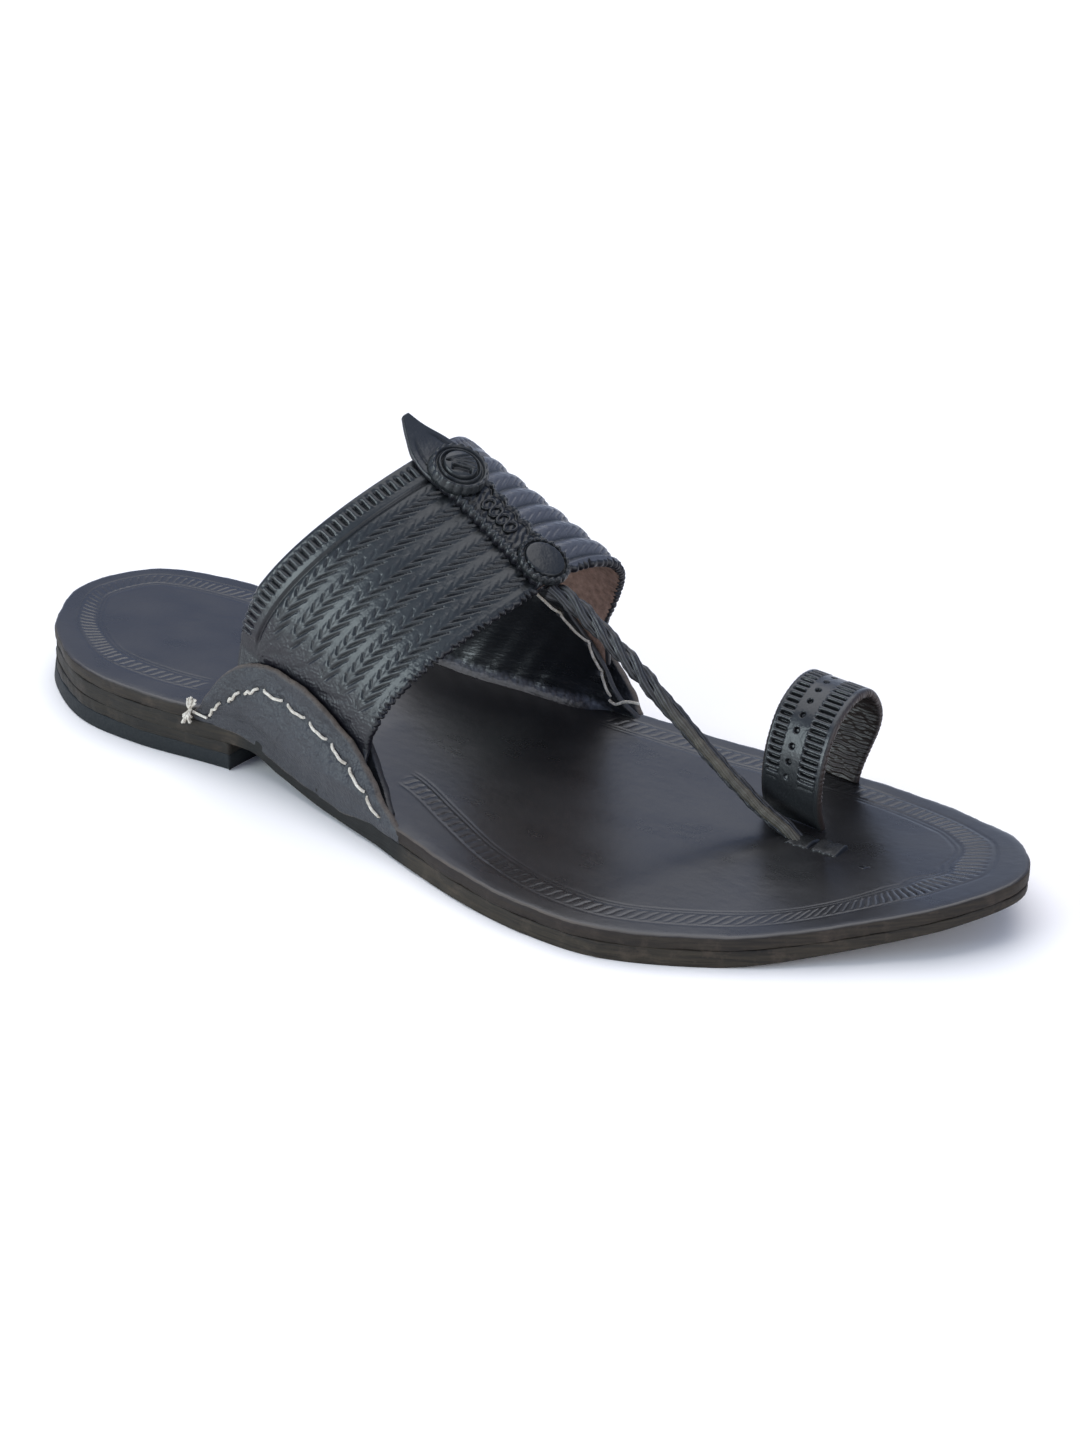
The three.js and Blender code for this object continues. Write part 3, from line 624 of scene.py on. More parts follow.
def wrap_sheet(outer, inner, relief, bulge=0.9):
    last_arc = edge_arc(outer[:, -1], inner[:, -1], unit(outer[:, -1] - outer[:, -2]), bulge)
    first_arc = edge_arc(outer[:, 0], inner[:, 0], unit(outer[:, 0] - outer[:, 1]), bulge)[:, ::-1]
    loop = np.concatenate([outer, last_arc, inner[:, ::-1], first_arc], axis=1)
    rows, columns = loop.shape[:2]
    sizes = [outer.shape[1], ARC_STEPS, inner.shape[1], ARC_STEPS]

    def spread(*parts):
        return np.tile(np.concatenate(parts), (rows, 1))

    blank = [np.zeros(size) for size in sizes]
    rounded = np.sin(np.linspace(0, math.pi, ARC_STEPS + 2)[1:-1])
    heights = 0.5 + spread(*blank)
    heights[:, : sizes[0]] = relief
    marks = {
        "relief": heights.ravel(),
        "cut": spread(blank[0], rounded, blank[2], rounded).ravel(),
        "inside": spread(blank[0], blank[1], blank[2] + 1, blank[3]).ravel(),
    }
    return loop.reshape(-1, 3), tube_faces(rows, columns), marks


def cap_faces(count, start=0):
    partner = [(count - i) % count for i in range(count)]
    faces = []
    for i in range(count // 2):
        ring = [i, i + 1, partner[i + 1], partner[i]]
        faces.append([start + corner for k, corner in enumerate(ring) if corner not in ring[:k]])
    return faces


print("points round a cut edge:", ARC_STEPS)

# %% [markdown]
# ## Ears and the room for them
# Two leather ears on each side clamp the ends of the band. Their feet go down beside the insole,
# which is notched for them, and the outer leaf hangs over the outsole, whose waist is drawn in.
# The leaves share one middle surface that runs from the sole's edge up to the band's wall.

# %% Ear sizes
EAR_EDGES = {  # along, height of the top edge
    ("lateral", "outer"): [
        (-72, 13.8), (-69, 15.8), (-65, 21.3), (-60, 27.6), (-54, 31.8), (-45, 33.7),
        (-34, 32.1), (-20, 25.3), (-8, 16.8), (-1, 11.5), (4.5, 7.6),
    ],
    ("lateral", "inner"): [
        (-68, 17), (-62, 25), (-54, 30), (-44, 32), (-33, 31.5), (-18, 25), (-7, 14.5), (-1, 9.5),
    ],
    ("medial", "outer"): [
        (-60, 14), (-56, 23), (-47, 35), (-34, 42), (-21, 42.5), (-7, 37), (4, 28.5), (12, 18), (20, 8),
    ],
    ("medial", "inner"): [
        (-57, 14), (-53, 24), (-45, 36), (-32, 43.5), (-19, 44.5), (-4, 39.5), (3.5, 31.5),
        (9.5, 22.5), (14, 14.5), (21.5, 7.5),
    ],
}
SIDE_SIGN = {"lateral": 1, "medial": -1}
EAR_THICKNESS = {"outer": 2.0, "inner": 1.8}
EAR_BELLY = 1.8
EAR_MIDDLE_INSET = 2.5
EAR_LEAF_SPACE = 0.25
EAR_BAND_SPACE = 1.6
EAR_LOWEST_RISE = 1.5
NOTCH_DEPTH, NOTCH_RUN = 2.9, 8.0
WAIST_DEPTH, WAIST_DROP, WAIST_RUN = 0.5, 1.8, 12.0
BAND_THICKNESS = 2.2
BAND_END_ABOVE_SOLE = 9.0
BAND_TUCK = 12.0


def ear_span(side, layer):
    rows = EAR_EDGES[side, layer]
    return rows[0][0], rows[-1][0]


def ear_notch(side, y):
    back, front = ear_span(side, "outer")
    return NOTCH_DEPTH * window(y, back + NOTCH_RUN, front - NOTCH_RUN, NOTCH_RUN)


def ear_waist(side, y):
    back, front = ear_span(side, "outer")
    return WAIST_DEPTH * window(y, back + WAIST_RUN, front - WAIST_RUN, WAIST_RUN)


def by_side(loop, rule):
    y = loop.points[:, 1]
    return np.where(loop.lateral, rule("lateral", y), rule("medial", y))


print("ears:", [" ".join(key) for key in EAR_EDGES])

# %% [markdown]
# ## Heel, lift and outsole
# A stacked edge is pared, dyed and rubbed with a hot iron, so layers show as fine lines and the
# corners are a little round. Rings of points stacked up the edge make the plates, and a slow
# wobble of a tenth of a millimetre keeps the cut from looking machined.

# %% Plates
EDGE_WOBBLE = 0.12
HEEL_BREAST = {"lateral": -60.0, "medial": -54.0}
HEEL_COLUMNS = {"side": 150, "front": 40}
PLATE_COLUMNS = 520
# WAIST_SHADE paints the lateral waist edge darker, as painted shade under the raised arch
WAIST_SHADE = SimpleNamespace(depth=0.42, span=(-52.0, 2.0), run=9.0)
HEEL_DYE = SimpleNamespace(depth=0.20, span=(-70.0, -55.0))


def wobble(run):
    waves = np.sin(run * 0.31) + 0.6 * np.sin(run * 0.83 + 1.7) + 0.4 * np.sin(run * 2.1 + 0.4)
    return EDGE_WOBBLE * waves


def plate_rings(loop, rings):
    layers = []
    for inset, height in rings:
        moved = loop.points - loop.outward * np.broadcast_to(inset, len(loop.points))[:, None]
        layers.append(np.column_stack([moved, np.broadcast_to(height(moved[:, 1]), len(moved))]))
    return layers


def plate(layers):
    count = len(layers[0])
    faces = grid_faces(len(layers), count, closed=True).tolist()
    faces += [face[::-1] for face in cap_faces(count)]
    faces += cap_faces(count, (len(layers) - 1) * count)
    return np.vstack(layers), faces


sole = sole_loop(PLATE_COLUMNS)
waist = by_side(sole, ear_waist)
edge_run = wobble(sole.run)
outsole_rings = plate_rings(sole, [
    (waist + 0.45, outsole_bottom),
    (waist + 0.14, lambda y: outsole_bottom(y) + 0.08),
    (waist + 0.06 + edge_run, lambda y: outsole_bottom(y) + 0.35),
    (waist + edge_run, lambda y: outsole_bottom(y) + 1.0),
    (waist + edge_run, lambda y: lerp(outsole_bottom(y), outsole_top(y), 0.5)),
    (waist + 0.04 + edge_run, lambda y: outsole_top(y) - 0.5),
    (waist + 0.09 + edge_run, lambda y: outsole_top(y) - 0.12),
    (waist + 0.3, lambda y: outsole_top(y)),
    (waist + 1.2, lambda y: outsole_top(y) + INSOLE_LIFT / 2),
])
sole_y = sole.points[:, 1]
# The lateral waist edge is painted darker, as painted shade under the raised arch; the heel's darker edge
# is dye
waist_shade = 0.5 - WAIST_SHADE.depth * sole.lateral * window(sole_y, *WAIST_SHADE.span, WAIST_SHADE.run)
heel_dye = HEEL_DYE.depth * (1 - smoothstep(sole_y, *HEEL_DYE.span))
make_piece(
    "sandal_outsole", *plate(outsole_rings), SOLE_EDGE, "sole_leather", ["outsole"],
    relief=np.tile(waist_shade - heel_dye, len(outsole_rings)),
)


# %% Heel layers
def heel_loop():
    sides = {}
    for side in ("lateral", "medial"):
        points = OUTLINE_SIDES[side]
        end = np.searchsorted(points[:, 1], HEEL_BREAST[side])
        pick = np.linspace(0, end, HEEL_COLUMNS["side"] + 1).astype(int)
        sides[side] = points[pick]
    share = np.linspace(0, 1, HEEL_COLUMNS["front"] + 1)[1:-1, None]
    front = lerp(sides["lateral"][-1], sides["medial"][-1], share)
    points = np.vstack([sides["lateral"], front, sides["medial"][:0:-1]])
    return SimpleNamespace(points=points, outward=outward_from(points), run=run_along(points))


heel = heel_loop()
heel_forward = smoothstep(heel.points[:, 1], HEEL_END[1], HEEL_BREAST["lateral"])
heel_wobble = wobble(heel.run + 40)


def heel_inset(rear, front):
    return lerp(rear, front, heel_forward)


LIFT_BOTTOM = RUBBER_THICKNESS
LIFT_DYE = 0.29
lift_inset = heel_inset(-0.4, 0.5) + heel_wobble
lift_rings = plate_rings(heel, [
    (lift_inset + 0.4, lambda y: LIFT_BOTTOM),
    (lift_inset + 0.07, lambda y: LIFT_BOTTOM + 0.06),
    (lift_inset, lambda y: LIFT_BOTTOM + 0.3),
    (lift_inset, lambda y: outsole_bottom(y) - 0.3),
    (lift_inset + 0.06, lambda y: outsole_bottom(y) - 0.06),
    (lift_inset + 0.35, lambda y: outsole_bottom(y)),
])
make_piece(
    "sandal_heel_lift", *plate(lift_rings), SOLE_EDGE, "sole_leather", ["heel_lift"],
    relief=LIFT_DYE,
)
rubber_low, rubber_high = heel_inset(-1.3, 1.1), heel_inset(-0.7, 0.8)
rubber_rings = plate_rings(heel, [
    (rubber_low + 0.7, lambda y: 0.0),
    (rubber_low + 0.15, lambda y: 0.15),
    (rubber_low, lambda y: 0.6),
    (rubber_high, lambda y: RUBBER_THICKNESS - 0.5),
    (rubber_high + 0.1, lambda y: RUBBER_THICKNESS - 0.08),
    (rubber_high + 0.6, lambda y: RUBBER_THICKNESS),
])
make_piece("sandal_heel_rubber", *plate(rubber_rings), RUBBER, "heel_rubber", ["heel_rubber"])

# %% [markdown]
# ## Insole with its stamped border
# The insole carries a border: a line, a row of slanted S-shaped strokes and a double line, once
# round the heel and once round the forefoot, where it draws in to a pointed arch at the toe.
# The strokes are under a millimetre wide, so the mesh is four times finer along the border than
# elsewhere, and the two densities are knitted together with faces of seven corners.

# %% Border drawing
BORDER_START = 5.0
BORDER_LINES = (0.0, 5.7, 6.8)
BORDER_FADE = 4.0
BORDER_DEPTH = SimpleNamespace(line=0.11, stroke=0.13, pillow=0.03)
LINE_HALF, STROKE_HALF = 0.36, 0.42
STROKE_MIDDLE = 2.8
STROKE_PITCH = 2.75
STROKE_SLANT = 0.55
HEEL_BORDER = (578.0, 92.0)
FOREFOOT_BORDER = (161.0, 488.0)
FAINT_BORDER = SimpleNamespace(span=(195.0, 270.0), run=20.0, loss=0.4)
BORDER_DRIFT = [  # run round the outline, drift of the outer line, drift of the inner line
    (0, 0, 0),
    (130, 6, 6),
    (158, 9.5, 9.5),
    (180, 6, 6),
    (200, 2.8, 2.8),
    (225, 0.8, 0.8),
    (260, 0.5, 0.5),
    (285, 1.2, 1.2),
    (305, 2.8, 3.4),
    (322, 4.2, 6.0),
    (336, 4.6, 8.2),
    (348, 3.6, 8.2),
    (358, 2.0, 5.0),
    (370, 0.6, 1.6),
    (384, 0, 0),
    (664, 0, 0),
]
outer_drift = curve_through(BORDER_DRIFT, 1)
inner_drift = curve_through(BORDER_DRIFT, 2)


def border_shows(run):
    past_start = smoothstep(run, HEEL_BORDER[0], HEEL_BORDER[0] + BORDER_FADE)
    before_end = 1 - smoothstep(run, HEEL_BORDER[1] - BORDER_FADE, HEEL_BORDER[1])
    forefoot = window(run, *FOREFOOT_BORDER, BORDER_FADE)
    faint = 1 - FAINT_BORDER.loss * window(run, *FAINT_BORDER.span, FAINT_BORDER.run)
    return np.maximum(np.maximum(past_start, before_end), forefoot) * faint


def border_relief(run, inset):
    outer = BORDER_START + outer_drift(run)
    stretch = 1 + (inner_drift(run) - outer_drift(run)) / BORDER_LINES[1]
    across = (inset - outer) / stretch
    lines = sum(groove(across - line, LINE_HALF) for line in BORDER_LINES)
    curl = 0.2 * np.sin((across - STROKE_MIDDLE) * 1.5)
    phase = (run - STROKE_SLANT * (across - STROKE_MIDDLE) + curl) / STROKE_PITCH
    from_stroke = np.abs(phase - np.floor(phase) - 0.5) * STROKE_PITCH
    stroke = groove(from_stroke, STROKE_HALF) * window(across, 1.1, 4.6, 0.5)
    pillow = (1 - stroke) * window(across, 0.7, 4.9, 0.5)
    pressed = BORDER_DEPTH.line * lines + BORDER_DEPTH.stroke * stroke
    return (BORDER_DEPTH.pillow * pillow - pressed) * border_shows(run)


print("length of the border round the forefoot, mm:", FOREFOOT_BORDER[1] - FOREFOOT_BORDER[0])

# %% Insole grid
COARSE_COLUMNS = 500
FINE_PER_COARSE = 4
BORDER_ROWS = 34
BORDER_BEFORE, BORDER_AFTER = 1.4, 2.2
SPINE_ENDS = (-108.0, 104.0)
SPINE_SHARES = (0.12, 0.3, 0.5, 0.7, 0.86)


def toward_spine(loop):
    y = np.clip(loop.points[:, 1], *SPINE_ENDS)
    middle = (outline_x("lateral", y) + outline_x("medial", y)) / 2
    aim = np.column_stack([middle, y]) - loop.points
    heading = unit(aim)
    lean = -np.einsum("ij,ij->i", heading, loop.outward)
    return heading / lean[:, None], np.linalg.norm(aim, axis=1) * lean


def insole_ring(loop, inset, drop=0.0, relief=0.0):
    heading, _ = toward_spine(loop)
    flat = loop.points + heading * np.broadcast_to(inset, len(loop.points))[:, None]
    return np.column_stack([flat, insole_top(flat[:, 1]) - drop + relief])


coarse = sole_loop(COARSE_COLUMNS)
fine = sole_loop(COARSE_COLUMNS * FINE_PER_COARSE)
coarse_notch, fine_notch = by_side(coarse, ear_notch), by_side(fine, ear_notch)
coarse_wobble = wobble(coarse.run + 90)


def border_zone(run, notch):
    start = np.maximum(BORDER_START + outer_drift(run) - BORDER_BEFORE, notch + 1.5)
    return start, np.maximum(BORDER_START + BORDER_LINES[2] + inner_drift(run) + BORDER_AFTER, start + 8)


print("columns of the insole, and along its border:", len(coarse.run), len(fine.run))

# %% Insole rings
zone_start, zone_end = border_zone(coarse.run, coarse_notch)
edge_rows = [  # inset past the notch, drop below the top
    (0.4, INSOLE_THICKNESS + INSOLE_LIFT / 2),
    (0.1, INSOLE_THICKNESS + 0.1),
    (0.02, INSOLE_THICKNESS - 0.12),
    (0.0, 1.5),
    (0.06, 0.8),
    (0.22, 0.38),
    (0.55, 0.12),
    (1.1, 0.02),
]
outer_rings = [
    insole_ring(coarse, coarse_notch + past + coarse_wobble * (past < 0.6), drop)
    for past, drop in edge_rows
]
outer_rings += [insole_ring(coarse, lerp(coarse_notch + 1.1, zone_start, share)) for share in (0.35, 0.85)]
fine_start, fine_end = border_zone(fine.run, fine_notch)
fine_rings, fine_relief = [], []
for k in range(BORDER_ROWS):
    inset = lerp(fine_start, fine_end, k / (BORDER_ROWS - 1))
    fading = math.sin(math.pi * k / (BORDER_ROWS - 1)) ** 0.2 if 0 < k < BORDER_ROWS - 1 else 0.0
    relief = border_relief(fine.run, inset)
    fine_rings.append(insole_ring(fine, inset, relief=relief * fading))
    fine_relief.append(relief * fading)
_, coarse_reach = toward_spine(coarse)
inner_rings = [insole_ring(coarse, lerp(zone_end, coarse_reach, share)) for share in SPINE_SHARES]
print("rings outside, along and inside the border:", len(outer_rings), len(fine_rings), len(inner_rings))

# %% Insole mesh
EDGE_FACE_ROWS = 5
WORN_RIM = SimpleNamespace(least=0.3, more=0.7, span=(5.0, 60.0), run=25.0)
points = np.vstack(outer_rings + fine_rings + inner_rings)
fine_count = COARSE_COLUMNS * FINE_PER_COARSE
fine_from = len(outer_rings) * COARSE_COLUMNS
inner_from = fine_from + BORDER_ROWS * fine_count
faces = grid_faces(len(outer_rings), COARSE_COLUMNS, closed=True).tolist()
faces += (grid_faces(BORDER_ROWS, fine_count, closed=True) + fine_from).tolist()
faces += (grid_faces(len(inner_rings), COARSE_COLUMNS, closed=True) + inner_from).tolist()
for i in range(COARSE_COLUMNS):
    beside = (i + 1) % COARSE_COLUMNS
    spans = [(FINE_PER_COARSE * i + k) % fine_count for k in range(FINE_PER_COARSE + 1)]
    above = fine_from - COARSE_COLUMNS
    below = inner_from - fine_count
    faces.append([above + i, above + beside] + [fine_from + k for k in reversed(spans)])
    faces.append([below + k for k in spans] + [inner_from + beside, inner_from + i])
faces += [face[::-1] for face in cap_faces(COARSE_COLUMNS)]
faces += cap_faces(COARSE_COLUMNS, len(points) - COARSE_COLUMNS)
relief_mark = np.full(len(points), 0.5)
# Border grooves are painted darker, as painted shade with dye
relief_mark[fine_from:inner_from] = np.clip(0.5 + 2.2 * np.concatenate(fine_relief), 0, 1)
cut_mark = np.zeros(len(points))
edge_tones = (1.0, 0.8, 0.75, 0.8, 0.95, 1.0, 0.6, 0.0)
worn_here = window(coarse.points[:, 1], *WORN_RIM.span, WORN_RIM.run)
worn_rim = WORN_RIM.least + WORN_RIM.more * coarse.lateral * worn_here
cut_mark[: len(edge_tones) * COARSE_COLUMNS] = np.outer(edge_tones, worn_rim).ravel()
make_piece(
    "sandal_insole", points, faces, INSOLE_LEATHER, "black_leather", ["insole"],
    edge_faces=EDGE_FACE_ROWS * COARSE_COLUMNS, relief=relief_mark, cut=cut_mark,
)

# %% [markdown]
# ## Ear leaves
# Each leaf is a flat offcut, wetted and pressed round the end of the band. The middle surface
# gives its place, half the band's wall gives its distance, and the stitches pull it in a little,
# which shows as a row of shallow dimples.

# %% Band edges
BAND_EDGES = {
    "back": SimpleNamespace(
        lateral=(21.3, -56.7, 37.0), crest=(-21.5, -21.6, 83.4), medial=(-45.8, -30.2, 38.2),
        fullness={"lateral": 2.2, "medial": 2.4}, sweep=1.5, swell=0.0,
    ),
    "front": SimpleNamespace(
        lateral=(28.6, -13.3, 22.2), crest=(-16.4, 16.1, 61.4), medial=(-46.8, 9.5, 32.0),
        fullness={"lateral": 2.1, "medial": 2.5}, sweep=1.6, swell=4.5,
    ),
}
FLANK_REACH = (-0.4, 1.6)


def flank_x(side, y, z):
    back, front = (np.array(getattr(BAND_EDGES[edge], side)) for edge in ("back", "front"))
    along = np.clip((y - back[1]) / (front[1] - back[1]), *FLANK_REACH)
    base = outsole_top(y)
    wall = lerp(back[0], front[0], along) - SIDE_SIGN[side] * BAND_THICKNESS / 2
    wall_height = np.maximum(lerp(back[2], front[2], along), base + BAND_END_ABOVE_SOLE)
    foot = outline_x(side, y) - SIDE_SIGN[side] * EAR_MIDDLE_INSET
    rise = np.clip((z - base) / (wall_height - base), 0, 1)
    belly = SIDE_SIGN[side] * EAR_BELLY * np.sin(math.pi * rise)
    return lerp(foot, wall, smoothstep(rise, 0, 1)) + belly


print("x of the outer ear's middle surface near its foot, mm:", flank_x("lateral", -40.0, 12.0).round(2))

# %% Stitch places
LATERAL_STITCHES = [  # start along and height, end along and height
    (-66.0, 14.8, -60.9, 20.6),
    (-57.8, 22.0, -54.4, 25.4),
    (-52.3, 25.8, -48.1, 28.2),
    (-46.0, 28.4, -39.8, 27.5),
    (-37.7, 27.1, -31.8, 25.5),
    (-29.9, 24.8, -23.9, 22.4),
    (-22.0, 21.7, -16.6, 18.6),
    (-15.1, 17.9, -9.0, 14.2),
    (-7.8, 13.4, -3.2, 9.6),
]
MEDIAL_STITCHES = [
    (-38.0, 37.5, -31.0, 39.6),
    (-30.0, 39.8, -22.5, 40.6),
    (-21.4, 40.6, -14.0, 40.0),
    (-10.0, 39.2, -2.0, 34.3),
    (-1.9, 34.2, 6.0, 27.6),
    (6.1, 27.4, 9.6, 19.8),
    (9.6, 19.6, 12.6, 13.4),
]
STITCHES = {("lateral", "outer"): LATERAL_STITCHES, ("medial", "inner"): MEDIAL_STITCHES}
print("stitches on each side:", [len(rows) for rows in STITCHES.values()])

# %% Ear meshes
EAR_ROWS, EAR_COLUMNS = 240, 54
DIMPLES = ((0.5, 0.8), (0.16, 2.6))  # depth, half width
# rub is a painted highlight along the fold of the inner medial leaf
SKIRT = SimpleNamespace(reach=5.0, fall=2.0, span=(-40.0, 4.0), run=10.0, crease=0.15, rub=0.62)


def ear_face(side, layer, y, z, depth):
    away = SIDE_SIGN[side] if layer == "outer" else -SIDE_SIGN[side]
    base = outsole_top(y)
    opening = smoothstep(z, base + INSOLE_THICKNESS, base + BAND_END_ABOVE_SOLE - 1)
    space = lerp(EAR_LEAF_SPACE, EAR_BAND_SPACE, opening)
    return flank_x(side, y, z) + away * (space + depth)


def stitch_dimples(side, layer, y, z):
    pull = np.zeros_like(y)
    for start_y, start_z, end_y, end_z in STITCHES.get((side, layer), []):
        for hole_y, hole_z in ((start_y, start_z), (end_y, end_z)):
            away = np.hypot(y - hole_y, z - hole_z)
            pull += sum(depth * groove(away, half) for depth, half in DIMPLES)
    return pull


def ear_skirt(y, z):
    above = np.clip(z - insole_top(y) + 0.4, 0, None)
    reach = SKIRT.reach * np.exp(-above / SKIRT.fall) * window(y, *SKIRT.span, SKIRT.run)
    creased = groove(above - 1.6, 2.2) * window(y, *SKIRT.span, SKIRT.run)
    pebbles = np.sin(y * 2.7 + 1.6 * np.sin(z * 1.9)) * np.sin(z * 3.3 + 1.3 * np.sin(y * 1.7))
    # A pebbled strip along the fold is painted lighter, as a painted highlight
    rub = SKIRT.rub * groove(above - 1.9, 1.3) * window(y, -30, 6, 14) * (0.6 + 0.4 * pebbles)
    return reach + SKIRT.crease * creased * pebbles, rub


def ear_leaf(side, layer):
    rows = EAR_EDGES[side, layer]
    edge = curve_through(rows)
    turn = np.linspace(0, math.pi, EAR_ROWS)
    along = lerp(rows[0][0], rows[-1][0], (1 - np.cos(turn)) / 2)[:, None]
    base = outsole_top(along)
    back, front = ear_span(side, "outer")
    drop = WAIST_DROP * window(along, back + 2 * WAIST_RUN, front - 2 * WAIST_RUN, WAIST_RUN)
    low = base - (drop if layer == "outer" else 0)
    ripple = 0.10 * np.sin(along * 0.7) + 0.06 * np.sin(along * 1.9 + 1)
    high = np.maximum(edge(along) + ripple * (layer == "outer"), low + EAR_LOWEST_RISE)
    z = lerp(low, high, np.linspace(0, 1, EAR_COLUMNS)[None, :] ** 1.35)
    y = np.broadcast_to(along, z.shape)
    dent = stitch_dimples(side, layer, y, z)
    # Stitch dimples are painted darker, as painted shade
    tone = 0.5 - 0.3 * dent
    if (side, layer) == ("medial", "inner"):
        # The skirt's fold gets a painted highlight in the tone
        reach, rub = ear_skirt(y, z)
        dent = dent - reach
        tone = tone + rub
    swell = 0.12 * np.sin(y * 0.33 + z * 0.21) + 0.08 * np.sin(y * 0.8 - z * 0.5)
    far = ear_face(side, layer, y, z, EAR_THICKNESS[layer] - dent + swell)
    near = ear_face(side, layer, y, z, 0.0)
    outer, inner = np.stack([far, y, z], axis=-1), np.stack([near, y, z], axis=-1)
    points, faces, marks = wrap_sheet(outer, inner, np.clip(tone, 0, 1))
    name = f"sandal_ear_{side}_{layer}"
    leather = EAR_LEATHER if layer == "outer" else INNER_LEAF_LEATHER
    marks["inside"] = 0.0
    make_piece(name, points, faces, leather, "black_leather", [f"ear_{side}_{layer}"], **marks)


for side, layer in EAR_EDGES:
    ear_leaf(side, layer)

# %% [markdown]
# ## Instep band
# The band is one strap of hide, arched over the foot and stamped with rows of small leaves that
# meet in chevrons. A raised rim with cross cuts runs along its back edge, and the front edge is
# cut in small scallops. Real relief is used, not only a bump, because the rows show in the
# silhouette. The surface is measured in millimetres along the arch and across the strap, and
# the stamps are drawn in those two numbers.

# %% Band surface
BAND_CROWN = 0.5
BAND_WIDTH = 45.0


def band_edge(edge, angle):
    lateral = (angle <= math.pi / 2)[..., None]
    foot = np.where(lateral, np.array(edge.lateral), np.array(edge.medial))
    power = np.where(lateral[..., 0], 2 / edge.fullness["lateral"], 2 / edge.fullness["medial"])
    out = np.abs(np.cos(angle)) ** power
    up = np.clip(np.sin(angle), 0, None) ** power
    swell = np.where(lateral[..., 0], 0, edge.swell * np.sin(2 * angle - math.pi))
    x = lerp(edge.crest[0], foot[..., 0], out)
    y = lerp(foot[..., 1], edge.crest[1], up**edge.sweep) + swell
    z = lerp(foot[..., 2], edge.crest[2], up)
    return np.stack([x, y, z], axis=-1)


def band_face(angle, across):
    angle, across = np.broadcast_arrays(np.asarray(angle, float), np.asarray(across, float))
    back, front = (band_edge(BAND_EDGES[name], angle) for name in ("back", "front"))
    face = lerp(back, front, across[..., None])
    face[..., 2] += BAND_CROWN * np.maximum(0, 4 * across * (1 - across)) * np.sin(angle)
    return face


def band_normal(angle, across):
    step = 0.01
    round_arch = band_face(angle + step, across) - band_face(angle - step, across)
    over = band_face(angle, across + step) - band_face(angle, across - step)
    return unit(np.cross(over, round_arch))


fine_angles = np.linspace(0, math.pi, FINE_STEPS)
arch_run = run_along(band_face(fine_angles, 0.5))
ARCH_LENGTH = arch_run[-1]
print("length of the arch along its middle, mm:", round(ARCH_LENGTH, 1))

# %% Band stamps
RIM = SimpleNamespace(
    out=1.2, slots=(0.1, 2.7), end=4.7, line=5.4, height=0.5, pitch=2.1, wide_slot=0.34, thin_slot=0.14,
    depth=0.8, ridge=0.2,
)
LEAF = SimpleNamespace(
    first_row=8.3, row_pitch=6.35, pitch=3.6, pitch_at=24.0, crowding=0.00092, depth=0.66, bulge=0.14,
    trough=0.14, front=(0.45, 2.65), back=(0.6, 1.9), low_slope=2.3, high_slope=2.05, back_slope=1.4,
    head=0.31, tail=0.13,
)
ROW_DOME = {"lateral": 0.06, "medial": 1.35}
FAR_STAMP = 0.50
# FAR_HALF_SHEEN paints the far half lighter, as a painted reflection on its lobes
FAR_HALF_SHEEN = 0.5
DOME_SPAN, STAMP_SPAN, SHEEN_SPAN = (0.4, 0.62), (0.52, 0.6), (0.5, 0.56)  # shares of the arch
PLAIN_END = 11.5
PLAIN_GRAIN = 0.06
# Painted shade on the band's unstamped foot and its tucks, through the cut mark
PLAIN_SHADE = 1.0
TONE_LIMIT = 0.58
CREST_PLACE = math.radians(83)
# The band's field is darker for a few millimetres before the crest strip
CREST_DARKENING = SimpleNamespace(reach=8.6, run=2.2, tone=0.3)
SCALLOP = SimpleNamespace(pitch=2.1, depth=1.3, out=0.6, bead=0.05)
CREASES = [  # distance from the ear, across, turn, half length, depth
    (4.5, 12, 0.9, 4, 0.2),
    (6.5, 20, 0.7, 5, 0.16),
    (5.0, 29, 1.1, 4, 0.2),
    (7.5, 34, 0.9, 4, 0.14),
    (3.0, 38, 0.6, 5, 0.18),
]


def plain_creases(from_ear, across):
    trough = np.zeros_like(from_ear)
    for place, middle, turn, half, depth in CREASES:
        u, v = from_ear - place, across - middle
        along = u * math.cos(turn) + v * math.sin(turn)
        beside = v * math.cos(turn) - u * math.sin(turn)
        trough += depth * groove(beside, 0.9) * groove(along, half / 1.5)
    return trough


def plain_grain(from_ear, across):
    along_waves = np.sin(from_ear * 4.1 + 1.7 * np.sin(across * 1.3))
    across_waves = np.sin(across * 3.7 + 1.5 * np.sin(from_ear * 1.9))
    return PLAIN_GRAIN * (along_waves * across_waves)


print("creases in the plain part of the band:", len(CREASES))


